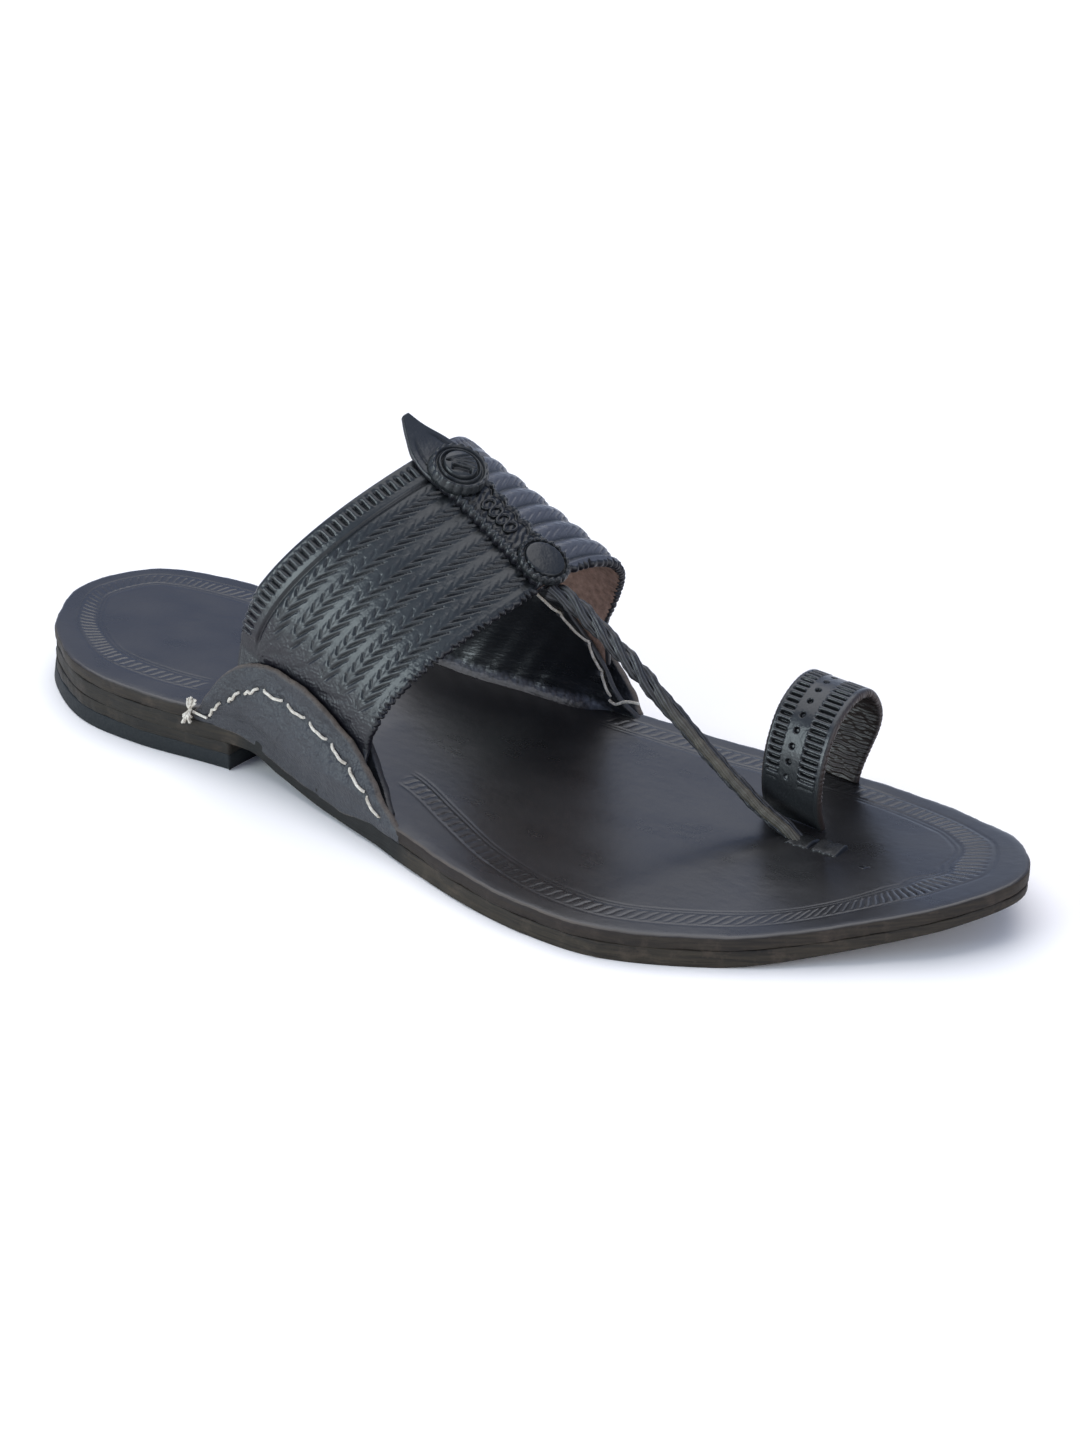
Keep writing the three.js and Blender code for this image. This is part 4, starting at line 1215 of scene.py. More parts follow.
# %% Leaf stamps
def leaf_stamps(from_ear, across):
    row = (across - LEAF.first_row) / LEAF.row_pitch
    off_axis = (row - np.round(row)) * LEAF.row_pitch
    arm = np.abs(off_axis)
    to_front = off_axis > 0
    front_slope = lerp(LEAF.low_slope, LEAF.high_slope, smoothstep(from_ear, 25, 62))
    slope = np.where(to_front, front_slope, LEAF.back_slope)
    start = np.where(to_front, LEAF.front[0], LEAF.back[0])
    end = np.where(to_front, LEAF.front[1], LEAF.back[1])
    onward = from_ear - slope * (arm - start) - LEAF.pitch_at
    count = onward / LEAF.pitch + LEAF.crowding * onward**2
    pitch = 1 / (1 / LEAF.pitch + 2 * LEAF.crowding * onward)
    phase = count - np.floor(count)
    from_slit = np.minimum(phase, 1 - phase) * pitch / np.sqrt(1 + slope**2)
    share = np.clip((arm - start) / (end - start), 0, 1)
    teardrop = LEAF.tail + 0.12 * np.sin(math.pi * share)
    width = np.where(to_front, lerp(LEAF.head, LEAF.tail, share), teardrop)
    shows = smoothstep(arm, start - 0.3, start + 0.1) * (1 - smoothstep(arm, end - 0.35, end + 0.15))
    back_share = lerp(0.8, 0.15, smoothstep(from_ear, 30, 48))
    depth = LEAF.depth * np.where(to_front, 1, back_share)
    pressed = LEAF.trough * groove(off_axis - 1.3, 0.9)
    return (LEAF.bulge * np.sin(math.pi * phase) - depth * groove(from_slit, width)) * shows - pressed


def row_domes(run, across):
    row = (across - LEAF.first_row) / LEAF.row_pitch
    share = (row - np.round(row)) * 2
    height = lerp(ROW_DOME["lateral"], ROW_DOME["medial"], smoothstep(run / ARCH_LENGTH, *DOME_SPAN))
    return height * (0.6 - share**2)


print("pitch of the leaf rows and of the leaves, mm:", LEAF.row_pitch, LEAF.pitch)


# %% Band relief
def stamped_share(run, across):
    start = PLAIN_END + 1.2 * np.sin(across * 1.1) + 0.8 * np.sin(across * 0.4)
    return smoothstep(np.minimum(run, ARCH_LENGTH - run), start - 4.5, start + 2.5)


def band_relief(run, across):
    from_ear = np.minimum(run, ARCH_LENGTH - run)
    stamped = stamped_share(run, across)
    on_field = window(across, RIM.line + 0.5, BAND_WIDTH - 0.4, 0.5)
    strength = lerp(1.0, FAR_STAMP, smoothstep(run / ARCH_LENGTH, *STAMP_SPAN))
    field = (strength * leaf_stamps(from_ear, across) + row_domes(run, across)) * on_field * stamped
    to_slot = np.abs(from_ear / RIM.pitch - np.round(from_ear / RIM.pitch)) * RIM.pitch
    half_slot = lerp(RIM.wide_slot, RIM.thin_slot, np.clip(across / RIM.slots[1], 0, 1))
    slots = (1 - smoothstep(to_slot, half_slot - 0.2, half_slot + 0.22)) * window(across, *RIM.slots, 0.4)
    ridges = -np.cos(2 * math.pi * to_slot / RIM.pitch) * window(across, -0.4, RIM.slots[1], 0.5)
    on_rim = smoothstep(from_ear, 2.5, 4.5)
    rim = RIM.height * window(across, -RIM.out, RIM.end, 0.4) + RIM.ridge * ridges - RIM.depth * slots
    rim = rim * on_rim
    line = 0.42 * groove(across - RIM.line, 0.34) * smoothstep(from_ear, 0, 4)
    plain = plain_grain(from_ear, across) * on_field - plain_creases(from_ear, across)
    return field + rim - line + plain * (1 - stamped)


print("height of the rim at the back edge, mm:", RIM.height)

# %% Band grid
NEAR_ROWS, FAR_ROWS, LINING_COLUMNS = 330, 175, 14
NEAR_SHARE = 0.52
ROW_COUNT, ROW_COLUMNS, RIM_COLUMNS, EDGE_COLUMNS = 6, 21, 22, 8
ROW_CROWDING = 0.12
TUCK_ROWS = 9


def tuck_rows(side, across, shift):
    foot = band_face(0.0 if side == "lateral" else math.pi, across)
    lowest = np.maximum(foot[:, 2] - BAND_TUCK, outsole_top(foot[:, 1]) + BAND_END_ABOVE_SOLE)
    rows = []
    for depth in np.linspace(1, 0, TUCK_ROWS, endpoint=False):
        z = lerp(foot[:, 2], lowest, depth)
        x = flank_x(side, foot[:, 1], z) + SIDE_SIGN[side] * shift
        rows.append(np.column_stack([x, foot[:, 1], z]))
    return np.array(rows if side == "lateral" else rows[::-1])


def with_tucks(arch, first_across, last_across, shift):
    return np.concatenate([
        tuck_rows("lateral", first_across, shift),
        arch,
        tuck_rows("medial", last_across, shift),
    ])


def band_columns():
    place = (np.arange(ROW_COUNT * ROW_COLUMNS) + 0.5) / ROW_COLUMNS - 0.5
    crowded = place - ROW_CROWDING * np.sin(2 * math.pi * place) / (2 * math.pi)
    rows = LEAF.first_row + LEAF.row_pitch * crowded
    rim = np.linspace(0, rows[0], RIM_COLUMNS, endpoint=False)
    return np.concatenate([rim, rows, np.linspace(rows[-1], BAND_WIDTH, EDGE_COLUMNS + 1)[1:]])


def fit_edges(columns, back, front):
    rim_end, field_end = LEAF.first_row - 3, BAND_WIDTH - 2
    rear = lerp(back[:, None], rim_end, columns / rim_end)
    ahead = lerp(field_end, front[:, None], (columns - field_end) / (BAND_WIDTH - field_end))
    return np.where(columns < rim_end, rear, np.where(columns > field_end, ahead, columns))


print("columns across the band:", len(band_columns()))

# %% Band mesh
near_end = ARCH_LENGTH * NEAR_SHARE
near_run = np.linspace(0, near_end, NEAR_ROWS, endpoint=False)
run = np.concatenate([near_run, np.linspace(near_end, ARCH_LENGTH, FAR_ROWS)])
angles = np.interp(run, arch_run, fine_angles)[:, None]
from_end = np.minimum(run, ARCH_LENGTH - run)
uneven = run + 0.35 * np.sin(run * 0.9) + 0.3 * np.sin(run * 0.37 + 1)
bite = SCALLOP.depth * (0.6 + 0.4 * np.sin(run * 0.61 + 0.5) * np.sin(run * 0.23))
toothed = smoothstep(from_end, 2, 9)
tooth = np.abs(np.sin(math.pi * uneven / SCALLOP.pitch)) * toothed
front_edge = BAND_WIDTH + (SCALLOP.out - bite) * toothed + bite * tooth
back_edge = -RIM.out * smoothstep(from_end, 6, 16)
across_mm = fit_edges(band_columns()[None, :], back_edge, front_edge)
relief = band_relief(np.broadcast_to(run[:, None], across_mm.shape), across_mm)
relief = relief + SCALLOP.bead * tooth[:, None] * window(across_mm, BAND_WIDTH - 0.5, BAND_WIDTH + 2, 0.5)
shares = across_mm / BAND_WIDTH
outer = band_face(angles, shares) + band_normal(angles, shares) * relief[..., None]
inner_mm = lerp(back_edge[:, None], front_edge[:, None], np.linspace(0, 1, LINING_COLUMNS)[None, :])
inner_shares = inner_mm / BAND_WIDTH
inner = band_face(angles, inner_shares) - band_normal(angles, inner_shares) * BAND_THICKNESS
half_wall = BAND_THICKNESS / 2
outer = with_tucks(outer, shares[0], shares[-1], half_wall)
inner = with_tucks(inner, inner_shares[0], inner_shares[-1], -half_wall)
# Darker band field just before the crest strip
before_crest = np.interp(CREST_PLACE, fine_angles, arch_run) - run
crest_darkening = CREST_DARKENING.tone * window(before_crest, 0, CREST_DARKENING.reach - CREST_DARKENING.run, CREST_DARKENING.run)
# The far half is painted lighter, as a painted reflection on its lobes
far_half_sheen = FAR_HALF_SHEEN * smoothstep(run / ARCH_LENGTH, *SHEEN_SPAN)
# Slits and hollows are painted darker and bulges lighter through the relief tone, as painted shade and
# highlight with dye
tone = np.clip(np.minimum(0.5 + 0.8 * relief, TONE_LIMIT) + (far_half_sheen - crest_darkening)[:, None], 0, 1)
plain = np.full((TUCK_ROWS, across_mm.shape[1]), 0.5)
points, faces, marks = wrap_sheet(outer, inner, np.concatenate([plain, tone, plain]))
# The unstamped foot of the band and its tucks are painted darker, as painted shade
plain_shade = PLAIN_SHADE * (1 - stamped_share(np.broadcast_to(run[:, None], across_mm.shape), across_mm))
tuck_shade = np.full_like(plain, PLAIN_SHADE)
outer_cut = marks["cut"].reshape(len(outer), -1)[:, : across_mm.shape[1]]
outer_cut[:] = np.concatenate([tuck_shade, plain_shade, tuck_shade])
make_piece("sandal_instep_band", points, faces, UPPER_LEATHER, "black_leather", ["instep_band"], **marks)

# %% [markdown]
# ## Crest strip
# A narrow strip lies along the crest of the band. Its sides are scalloped, a raised line follows
# them, and its pointed rear end stands up free of the band.

# %% Crest strip mesh
CREST_SECTIONS = [  # along, half width, lift off the band
    (-11.5, 0.5, 3.2),
    (-7, 2.7, 1.6),
    (-2, 5.3, 0.4),
    (3, 6.4, 0),
    (9, 6.0, 0),
    (14, 5.4, 0),
    (40, 5.2, 0),
    (45, 5.0, 0),
]
CREST_THICKNESS = 1.8
CREST_TIP_BEND = 1.3
CREST_ROWS, CREST_COLUMNS, CREST_UNDER = 230, 56, 8
CREST_SCALLOP = SimpleNamespace(far=(4.6, 1.3), near=(2.3, 0.8), start=13.0)  # pitch, depth
# The plain tip's lighter tone is a painted reflection; the scalloped part is darker
STRIP_TONES = (0.66, 0.14)
crest_half = curve_through(CREST_SECTIONS, 1)
crest_lift = curve_through(CREST_SECTIONS, 2)
CREST_SPAN = band_face(CREST_PLACE, 1.0) - band_face(CREST_PLACE, 0.0)
CREST_LENGTH = np.linalg.norm(CREST_SPAN)
CREST_FORWARD = unit(CREST_SPAN)


def crest_point(along, sideways, height):
    across = along / CREST_LENGTH
    before, after = band_face(CREST_PLACE - 0.05, across), band_face(CREST_PLACE + 0.05, across)
    radius = np.linalg.norm(after - before, axis=-1) / 0.1
    tip_bend = -CREST_TIP_BEND * (1 - smoothstep(along, -10, 3))
    angle = CREST_PLACE + (sideways + tip_bend) / radius
    return band_face(angle, across) + band_normal(angle, across) * np.asarray(height)[..., None]


def scallop_share(along):
    return smoothstep(along, CREST_SCALLOP.start - 4, CREST_SCALLOP.start)


def scallop_wave(along, pitch, depth):
    return depth * (np.abs(np.sin(math.pi * along / pitch)) - 0.6)


def strip_half(along, share):
    far_wave, near_wave = (scallop_wave(along, *cut) for cut in (CREST_SCALLOP.far, CREST_SCALLOP.near))
    return crest_half(along) + np.where(share > 0, far_wave, near_wave) * scallop_share(along)


along = np.linspace(CREST_SECTIONS[0][0], CREST_SECTIONS[-1][0], CREST_ROWS)[:, None]
scalloped = scallop_share(along)
side_share = np.linspace(1, -1, CREST_COLUMNS)[None, :]
half = strip_half(along, side_share)
from_side = half * (1 - np.abs(side_share))
line = groove(from_side - 1.7, 0.4) * smoothstep(along, -6, -1)
rolled = 0.32 * window(from_side, 0.3, 1.2, 0.35) * scalloped
beads = 0.3 * groove(from_side - 0.75, 0.5) * np.sin(math.pi * along / 1.15) ** 2 * scalloped
ripple = np.sin(along * 2.9 + 1.3 * np.sin(side_share * 5))
cross_ripple = np.sin(side_share * 8 + along * 0.7)
dapple = 0.14 * ripple * cross_ripple * scalloped
relief = rolled + beads + dapple - 0.35 * line
outer = crest_point(along, half * side_share, crest_lift(along) + CREST_THICKNESS + 0.2 + relief)
under_share = np.linspace(1, -1, CREST_UNDER)[None, :]
under_half = strip_half(along, under_share)
inner = crest_point(along, under_half * under_share, crest_lift(along) + 0 * under_share)
# The tip is painted lighter, as a painted reflection; beads and rolls are painted lighter and the line
# darker, as painted highlight and painted shade
strip_tone = lerp(*STRIP_TONES, scalloped)
points, faces, marks = wrap_sheet(outer, inner, np.clip(strip_tone + 0.9 * relief, 0, 1), 0.7)
make_piece("sandal_crest_strip", points, faces, UPPER_LEATHER, "black_leather", ["crest_strip"], **marks)

# %% [markdown]
# ## Bosses
# The two bosses are moulded over a former. Seen from above each is a dome in a ring, so its
# surface is a height over radius and angle. The rear one has a fan of ribs over a hollow, inside
# rings, and the front one is a smooth dome with a notched rim.

# %% Boss meshes
BOSS_RADII, BOSS_SPOKES = 44, 168
REAR_BOSS = SimpleNamespace(along=8.2, length=15.5, width=15.5, height=4.2)
FRONT_BOSS = SimpleNamespace(along=40.5, length=14.0, width=13.0, height=3.4)
BOSS_FOOT = -0.08


def rear_boss_height(radius, angle):
    ring = 0.55 + 0.14 * groove(radius - 0.68, 0.05) - 0.12 * groove(radius - 0.77, 0.04)
    ring = ring + 0.10 * groove(radius - 0.86, 0.05) - 0.35 * smoothstep(radius, 0.9, 1.0) ** 2
    middle = 0.66 + 0.3 * np.sqrt(np.clip(1 - (radius / 0.62) ** 2, 0, 1))
    aside, onward = radius * np.cos(angle), radius * np.sin(angle)
    right, down = (aside + onward) / math.sqrt(2), (onward - aside) / math.sqrt(2)
    scoop = window(down, 0.16, 0.34, 0.06) * window(right, -0.22, 0.28, 0.12)
    from_pivot, fan = np.hypot(right + 0.5, down), np.arctan2(down, right + 0.5)
    ribs = sum(groove(from_pivot * (fan - turn), 0.035) for turn in (-0.50, -0.30, -0.10, 0.10))
    middle = middle - 0.30 * scoop - 0.14 * ribs * (1 - smoothstep(radius, 0.46, 0.54)) * (1 - scoop)
    scallop = 0.14 * np.abs(np.sin(angle * 10)) * window(radius, 0.91, 0.97, 0.03)
    return lerp(middle, ring, smoothstep(radius, 0.54, 0.62)) - 0.15 * groove(radius - 0.6, 0.04) + scallop


def front_boss_height(radius, angle):
    dome = 0.46 + 0.2 * np.sqrt(np.clip(1 - (radius / 0.8) ** 2, 0, 1))
    ledge = 0.34 + 0.22 * np.abs(np.sin(angle * 10)) * window(radius, 0.86, 0.97, 0.05)
    height = lerp(dome, ledge, smoothstep(radius, 0.74, 0.8))
    return height - 0.1 * groove(radius - 0.79, 0.05) - 0.25 * smoothstep(radius, 0.92, 1.0) ** 3


def boss_seat(spec):
    across = spec.along / CREST_LENGTH
    normal = band_normal(CREST_PLACE, across)
    sideways = unit(np.cross(normal, CREST_FORWARD))
    onward = np.cross(sideways, normal)
    return band_face(CREST_PLACE, across) + normal * (CREST_THICKNESS + 0.2), sideways, onward, normal


def boss(name, spec, height_rule, lobes, shade, node):
    centre, sideways, onward, normal = boss_seat(spec)
    radius = np.linspace(0.03, 1, BOSS_RADII)[:, None]
    angle = np.linspace(0, 2 * math.pi, BOSS_SPOKES, endpoint=False)[None, :]
    lobe = 1 + 0.03 * (np.abs(np.sin(angle * lobes / 2)) - 0.6) * smoothstep(radius, 0.85, 1)
    height = height_rule(radius, angle) * np.ones_like(angle)
    rings = [(radius * lobe, height)]
    rings.append(((radius * lobe)[-1:], np.full_like(angle, BOSS_FOOT)))
    rings.append((0.05 * np.ones_like(angle), np.full_like(angle, BOSS_FOOT)))
    out = np.concatenate([r * np.ones_like(angle) for r, h in rings])
    up = np.concatenate([h for r, h in rings])
    aside = out * np.cos(angle) * spec.width / 2
    ahead = out * np.sin(angle) * spec.length / 2
    flat = np.stack([aside, ahead, up * spec.height], axis=-1)
    points = centre + flat[..., :1] * sideways + flat[..., 1:2] * onward + flat[..., 2:] * normal
    faces = tube_faces(len(out), BOSS_SPOKES)
    # Raised parts are painted lighter and hollows darker, as painted highlight and painted shade
    smooth = np.mean(height, axis=1, keepdims=True)
    tone = np.concatenate([np.clip(shade + 1.6 * (height - smooth), 0, 1), np.full((2, BOSS_SPOKES), 0.4)])
    make_piece(
        name, points.reshape(-1, 3), faces, UPPER_LEATHER, "black_leather", [node],
        relief=tone.ravel(),
    )


boss("sandal_rear_boss", REAR_BOSS, rear_boss_height, 20, 0.42, "rear_boss")
boss("sandal_front_boss", FRONT_BOSS, front_boss_height, 24, 0.28, "front_boss")

# %% [markdown]
# ## Thong
# Three narrow strips are laid up like a rope from the band downwards. Further down the twist stops
# and two of them lie side by side on the third until they dive into the sole between the toes.
# Each strip runs round the middle line at a fixed distance, a third of a turn from the others,
# and small ridges along it stand for the stretched fibres.

# %% Thong mesh
THONG_SECTIONS = [
    (-9.4, 16.4, 58.6),
    (-10.6, 21, 56.6),
    (-11.8, 32, 48.4),
    (-12.4, 44, 38.6),
    (-12.7, 55, 29.2),
    (-12.8, 66, 20.4),
    (-12.8, 77, 13.0),
    (-12.9, 84, 9.4),
    (-12.9, 87.5, 6.6),
]
STRAND_COUNT = 3
TWIST = SimpleNamespace(
    pitch=22.0, radius=1.05, low_radius=0.95, end=46.0, fade=14.0, last_turn=math.pi / 6,
)
STRAND = SimpleNamespace(
    radius=1.28, low_radius=1.12, sides=36, rows=300, ridges=9, ridge=0.13, ridge_pitch=30.0,
)
BROWN_STRAND = 0.7


def tube(path, side, up, radius, ridges, sides):
    angle = np.linspace(0, 2 * math.pi, sides, endpoint=False)[None, :]
    ridge = 1 + STRAND.ridge * ridges
    across = (np.cos(angle) * ridge * radius)[..., None]
    above = (np.sin(angle) * ridge * radius)[..., None]
    points = (path[:, None, :] + side[:, None, :] * across + up[:, None, :] * above).reshape(-1, 3)
    return points, tube_faces(len(path), sides)


def join_parts(parts):
    points, faces, start = [], [], 0
    for part_points, part_faces in parts:
        points.append(part_points)
        faces += [[start + corner for corner in face] for face in part_faces]
        start += len(part_points)
    return np.vstack(points), faces


thong_run, thong_line = evenly_along(spline(THONG_SECTIONS), STRAND.rows)
tangent = unit(np.gradient(thong_line, axis=0))
thong_side = unit(np.array([1.0, 0, 0]) - tangent * tangent[:, :1])
thong_up = np.cross(thong_side, tangent)
twisted = 1 - smoothstep(thong_run, TWIST.end - TWIST.fade, TWIST.end)
turned = -np.append(0, np.cumsum(twisted[1:] * np.diff(thong_run))) * 2 * math.pi / TWIST.pitch
turned = turned - turned[-1] + TWIST.last_turn
slim = smoothstep(thong_run, TWIST.end - TWIST.fade, TWIST.end + 8)
parts, tones, browns = [], [], []
for strand in range(STRAND_COUNT):
    place = turned + strand * 2 * math.pi / STRAND_COUNT
    reach = lerp(TWIST.radius, TWIST.low_radius, slim)
    aside = thong_side * (reach * np.cos(place))[:, None]
    above = thong_up * (reach * np.sin(place))[:, None]
    path = thong_line + aside + above
    uneven = 1 + 0.07 * np.sin(thong_run * 0.83 + strand * 2.1) + 0.05 * np.sin(thong_run * 1.9 + strand)
    thickness = (lerp(STRAND.radius, STRAND.low_radius, slim) * uneven)[:, None]
    turn = np.linspace(0, 2 * math.pi, STRAND.sides, endpoint=False)[None, :]
    twist = thong_run[:, None] * 2 * math.pi / STRAND.ridge_pitch
    ridges = np.cos(turn * STRAND.ridges + twist * 3 + 0.8 * np.sin(thong_run[:, None] * 0.6 + strand))
    parts.append(tube(path, thong_side, thong_up, thickness, ridges, STRAND.sides))
    # Fibre ridges are painted lighter and their valleys darker, as painted highlight and painted shade
    tones.append(np.clip(0.45 + 0.48 * ridges.ravel(), 0, 1))
    browns.append(np.repeat(BROWN_STRAND * slim * (strand == 0), STRAND.sides))
points, faces = join_parts(parts)
strand_marks = {"relief": np.concatenate(tones), "cut": np.concatenate(browns)}
make_piece("sandal_thong", points, faces, THONG_LEATHER, "black_leather", ["thong"], **strand_marks)

# %% [markdown]
# ## Toe ring
# A wide strap is bent into a loop for the big toe. Its outer face is stamped with short bars along
# both edges and a row of punched dots between them. The inside is the flesh side, wrinkled where
# the bend squeezes it.

# %% Toe ring stamps
RING_FRONT = 89.0
RING_LEAN = 0.06
RING_TURN = 0.14
RING_SWEEP, RING_SWEEP_START = 4.8, 0.72
RING_WIDTH = 16.0
RING_THICKNESS = 2.0
RING_LINE = [
    (-19.5, 8.2),
    (-16.6, 14),
    (-15.4, 21),
    (-16.4, 29),
    (-21.0, 37),
    (-29.5, 40.8),
    (-38.0, 39.6),
    (-44.6, 33.4),
    (-47.8, 25),
    (-48.4, 16),
    (-47.4, 8.2),
]
RING_STAMPS = SimpleNamespace(
    start=13.5, rear=(0.6, 4.0), front=(10.1, 15.0),
    slot_pitch=1.85, slot_half=0.40, slot_depth=0.85, ridge=0.18,
    dot_row=6.7, dot_pitch=4.1, first_dot=14.3, dot_radius=0.72, dot_depth=1.0,
)
# Painted shade on the ring's plain foot, near the insole
RING_FOOT_SHADE = 0.14
RING_ROWS, RING_COLUMNS, RING_INNER = 520, 84, 40


def ring_relief(run, across, length):
    stamps = RING_STAMPS
    from_end = np.minimum(run, length - run)
    shows = smoothstep(from_end, stamps.start - 1.5, stamps.start + 3.5)
    to_slot = np.abs(run / stamps.slot_pitch - np.round(run / stamps.slot_pitch)) * stamps.slot_pitch
    slots, bars = 0, 0
    for start, end in (stamps.rear, stamps.front):
        off_middle = (2 * across - start - end) / (end - start)
        half = stamps.slot_half * np.sqrt(np.clip(1 - off_middle**4, 0, 1))
        in_slot = 1 - smoothstep(to_slot, half - 0.2, half + 0.16)
        slots = slots + in_slot * (1 - smoothstep(np.abs(off_middle), 0.85, 1))
        bars = bars + window(across, start, end, 0.3)
    ridges = -np.cos(2 * math.pi * to_slot / stamps.slot_pitch) * bars
    nearest = np.round((run - stamps.first_dot) / stamps.dot_pitch) * stamps.dot_pitch + stamps.first_dot
    from_dot = np.hypot(run - nearest, across - stamps.dot_row)
    dots = 1 - smoothstep(from_dot, stamps.dot_radius * 0.65, stamps.dot_radius * 1.25)
    rolled = 0.15 * window(across, 15.3, 16.5, 0.3) + 0.15 * window(across, -1, 0.2, 0.4)
    pressed = stamps.slot_depth * slots + stamps.dot_depth * dots
    stamped = shows**2 * stamps.ridge * ridges - shows * pressed
    return stamped + rolled, shows


def ring_surface(run, line, tangent, across, inward_mm):
    inward = np.stack([-tangent[:, 1], tangent[:, 0]], axis=-1)
    behind = RING_WIDTH - across
    x = line[:, :1] + inward[:, :1] * inward_mm - RING_TURN * behind
    z = line[:, 1:] + inward[:, 1:] * inward_mm
    front = RING_FRONT - RING_SWEEP * smoothstep(run / run[-1], RING_SWEEP_START, 1)[:, None]
    y = front - behind + RING_LEAN * (line[:, 1:] - RING_LINE[0][1]) + 0 * x
    return np.stack([x, y, np.maximum(z, insole_top(y) - 0.6)], axis=-1)


print("pitch of the bars and of the dots, mm:", RING_STAMPS.slot_pitch, RING_STAMPS.dot_pitch)

# %% Toe ring mesh
ring_run, ring_line = evenly_along(spline(RING_LINE), RING_ROWS)
ring_tangent = unit(np.gradient(ring_line, axis=0))
across = np.linspace(0, RING_WIDTH, RING_COLUMNS)[None, :] * np.ones((RING_ROWS, 1))
relief, shows = ring_relief(ring_run[:, None], across, ring_run[-1])
outer = ring_surface(ring_run, ring_line, ring_tangent, across, -relief)
inner_across = np.linspace(0, RING_WIDTH, RING_INNER)[None, :] * np.ones((RING_ROWS, 1))
run_column = ring_run[:, None]
wrinkle = np.sin(run_column * 4.1 + 1.4 * np.sin(inner_across * 0.8 + run_column * 0.43))
wrinkle = wrinkle + 0.8 * np.sin(run_column * 5.7 + 0.9 * np.sin(inner_across * 1.3 - run_column * 0.7))
wrinkle = wrinkle * window(run_column, 12, ring_run[-1] - 3, 6)
inner = ring_surface(ring_run, ring_line, ring_tangent, inner_across, RING_THICKNESS + 0.14 * wrinkle)
# Slots and dots are painted darker and bars lighter, as painted shade and highlight; the plain foot is
# painted darker, as painted shade
tone = np.clip(0.5 + 0.85 * relief - RING_FOOT_SHADE * (1 - shows), 0, 1)
points, faces, marks = wrap_sheet(outer, inner, tone)
lining = marks["inside"] > 0.5
# The lining is painted nearly black through the relief mark, as painted shade inside the loop
marks["relief"] = np.where(lining, 0.15, marks["relief"])
marks["inside"] = np.where(lining, 0.04, 0.0)
marks["cut"] = np.where(lining, 0.45, marks["cut"])
make_piece("sandal_toe_ring", points, faces, RING_LEATHER, "black_leather", ["toe_ring"], **marks)

# %% [markdown]
# ## Toe tie
# In front of the thong a short strap end comes up through the insole, lies flat for a finger's
# width and goes down again. It holds the thong and the ring from below.

# %% Toe tie mesh
TOE_TIE = SimpleNamespace(start=(-12.9, 84.5), end=(-11.9, 100.2), tab=7.2, half=2.6, height=1.1)
TIE_ROWS, TIE_COLUMNS = 80, 30
tie_start, tie_end = np.array(TOE_TIE.start), np.array(TOE_TIE.end)
tie_length = np.linalg.norm(tie_end - tie_start)
tie_onward = (tie_end - tie_start) / tie_length
tie_beside = np.array([tie_onward[1], -tie_onward[0]])
tie_run = np.linspace(0, tie_length, TIE_ROWS)[:, None]
tie_side = np.linspace(-1, 1, TIE_COLUMNS)[None, :]
tail = window(tie_run, 1.0, TOE_TIE.tab - 1.2, 1.0)
tab = window(tie_run, TOE_TIE.tab + 0.6, tie_length - 1.4, 0.6)
lumps = 0.13 * np.sin(tie_run * 1.1 + tie_side * 1.5) + 0.05 * np.sin(tie_run * 2.3 - tie_side * 2.5)
height = tail * (0.8 + lumps) * (1 - 0.5 * tie_side**2)
height = height + tab * (TOE_TIE.height + 0.5 * lumps) * (1 - 0.3 * tie_side**4) * (1 - 0.25 * tie_side)
slits = groove(tie_run - TOE_TIE.tab + 0.2, 0.35) + groove(tie_run - tie_length + 0.9, 0.3)
narrowing = lerp(1.15, 1.0, smoothstep(tie_run, 3, TOE_TIE.tab))
half = TOE_TIE.half * narrowing * (1 + 0.08 * np.sin(tie_run * 2.3 + tie_side))
flat = tie_start + tie_run[..., None] * tie_onward + (half * tie_side)[..., None] * tie_beside
base = insole_top(flat[..., 1])
outer = np.concatenate([flat, (base + height - 0.5 * slits - 0.05)[..., None]], axis=-1)
inner = np.concatenate([flat, (base - 0.9)[..., None]], axis=-1)
# Slits are painted darker, as painted shade; the tie is dark overall and darker towards its sides
tone = np.clip(0.19 - 0.4 * slits - 0.25 * tie_side**6, 0, 1)
points, faces, marks = wrap_sheet(outer, inner, tone, 0.3)
marks["cut"] = 0.0
make_piece("sandal_toe_tie", points, faces, THONG_LEATHER, "black_leather", ["toe_tie"], **marks)

# %% [markdown]
# ## Stitches, knot and thread end
# Cream waxed thread sews the leaves of the ears together by hand: no two stitches are alike, and
# the knot at the rear is left with frayed ends. Geometry Nodes turn drawn paths into thread:
# each path becomes a curve, its own thickness sets the radius, and a small circle is swept along.

# %% Thread tree
def start_tree(name, **inputs):
    tree = bpy.data.node_groups.new(name, "GeometryNodeTree")
    for label, kind in {"Geometry": "Geometry", **inputs}.items():
        kind = "NodeSocket" + kind
        tree.interface.new_socket(label.replace("_", " "), in_out="INPUT", socket_type=kind)
    tree.interface.new_socket("Geometry", in_out="OUTPUT", socket_type="NodeSocketGeometry")
    return tree, tree.nodes.new("NodeGroupInput").outputs


def end_tree(tree, shape, material):
    real = add_node(tree, "GeometryNodeRealizeInstances", Geometry=shape)
    painted = add_node(
        tree, "GeometryNodeSetMaterial",
        Geometry=real.outputs["Geometry"], Material=material,
    )
    add_node(tree, "NodeGroupOutput", Geometry=painted.outputs["Geometry"])
    return tree


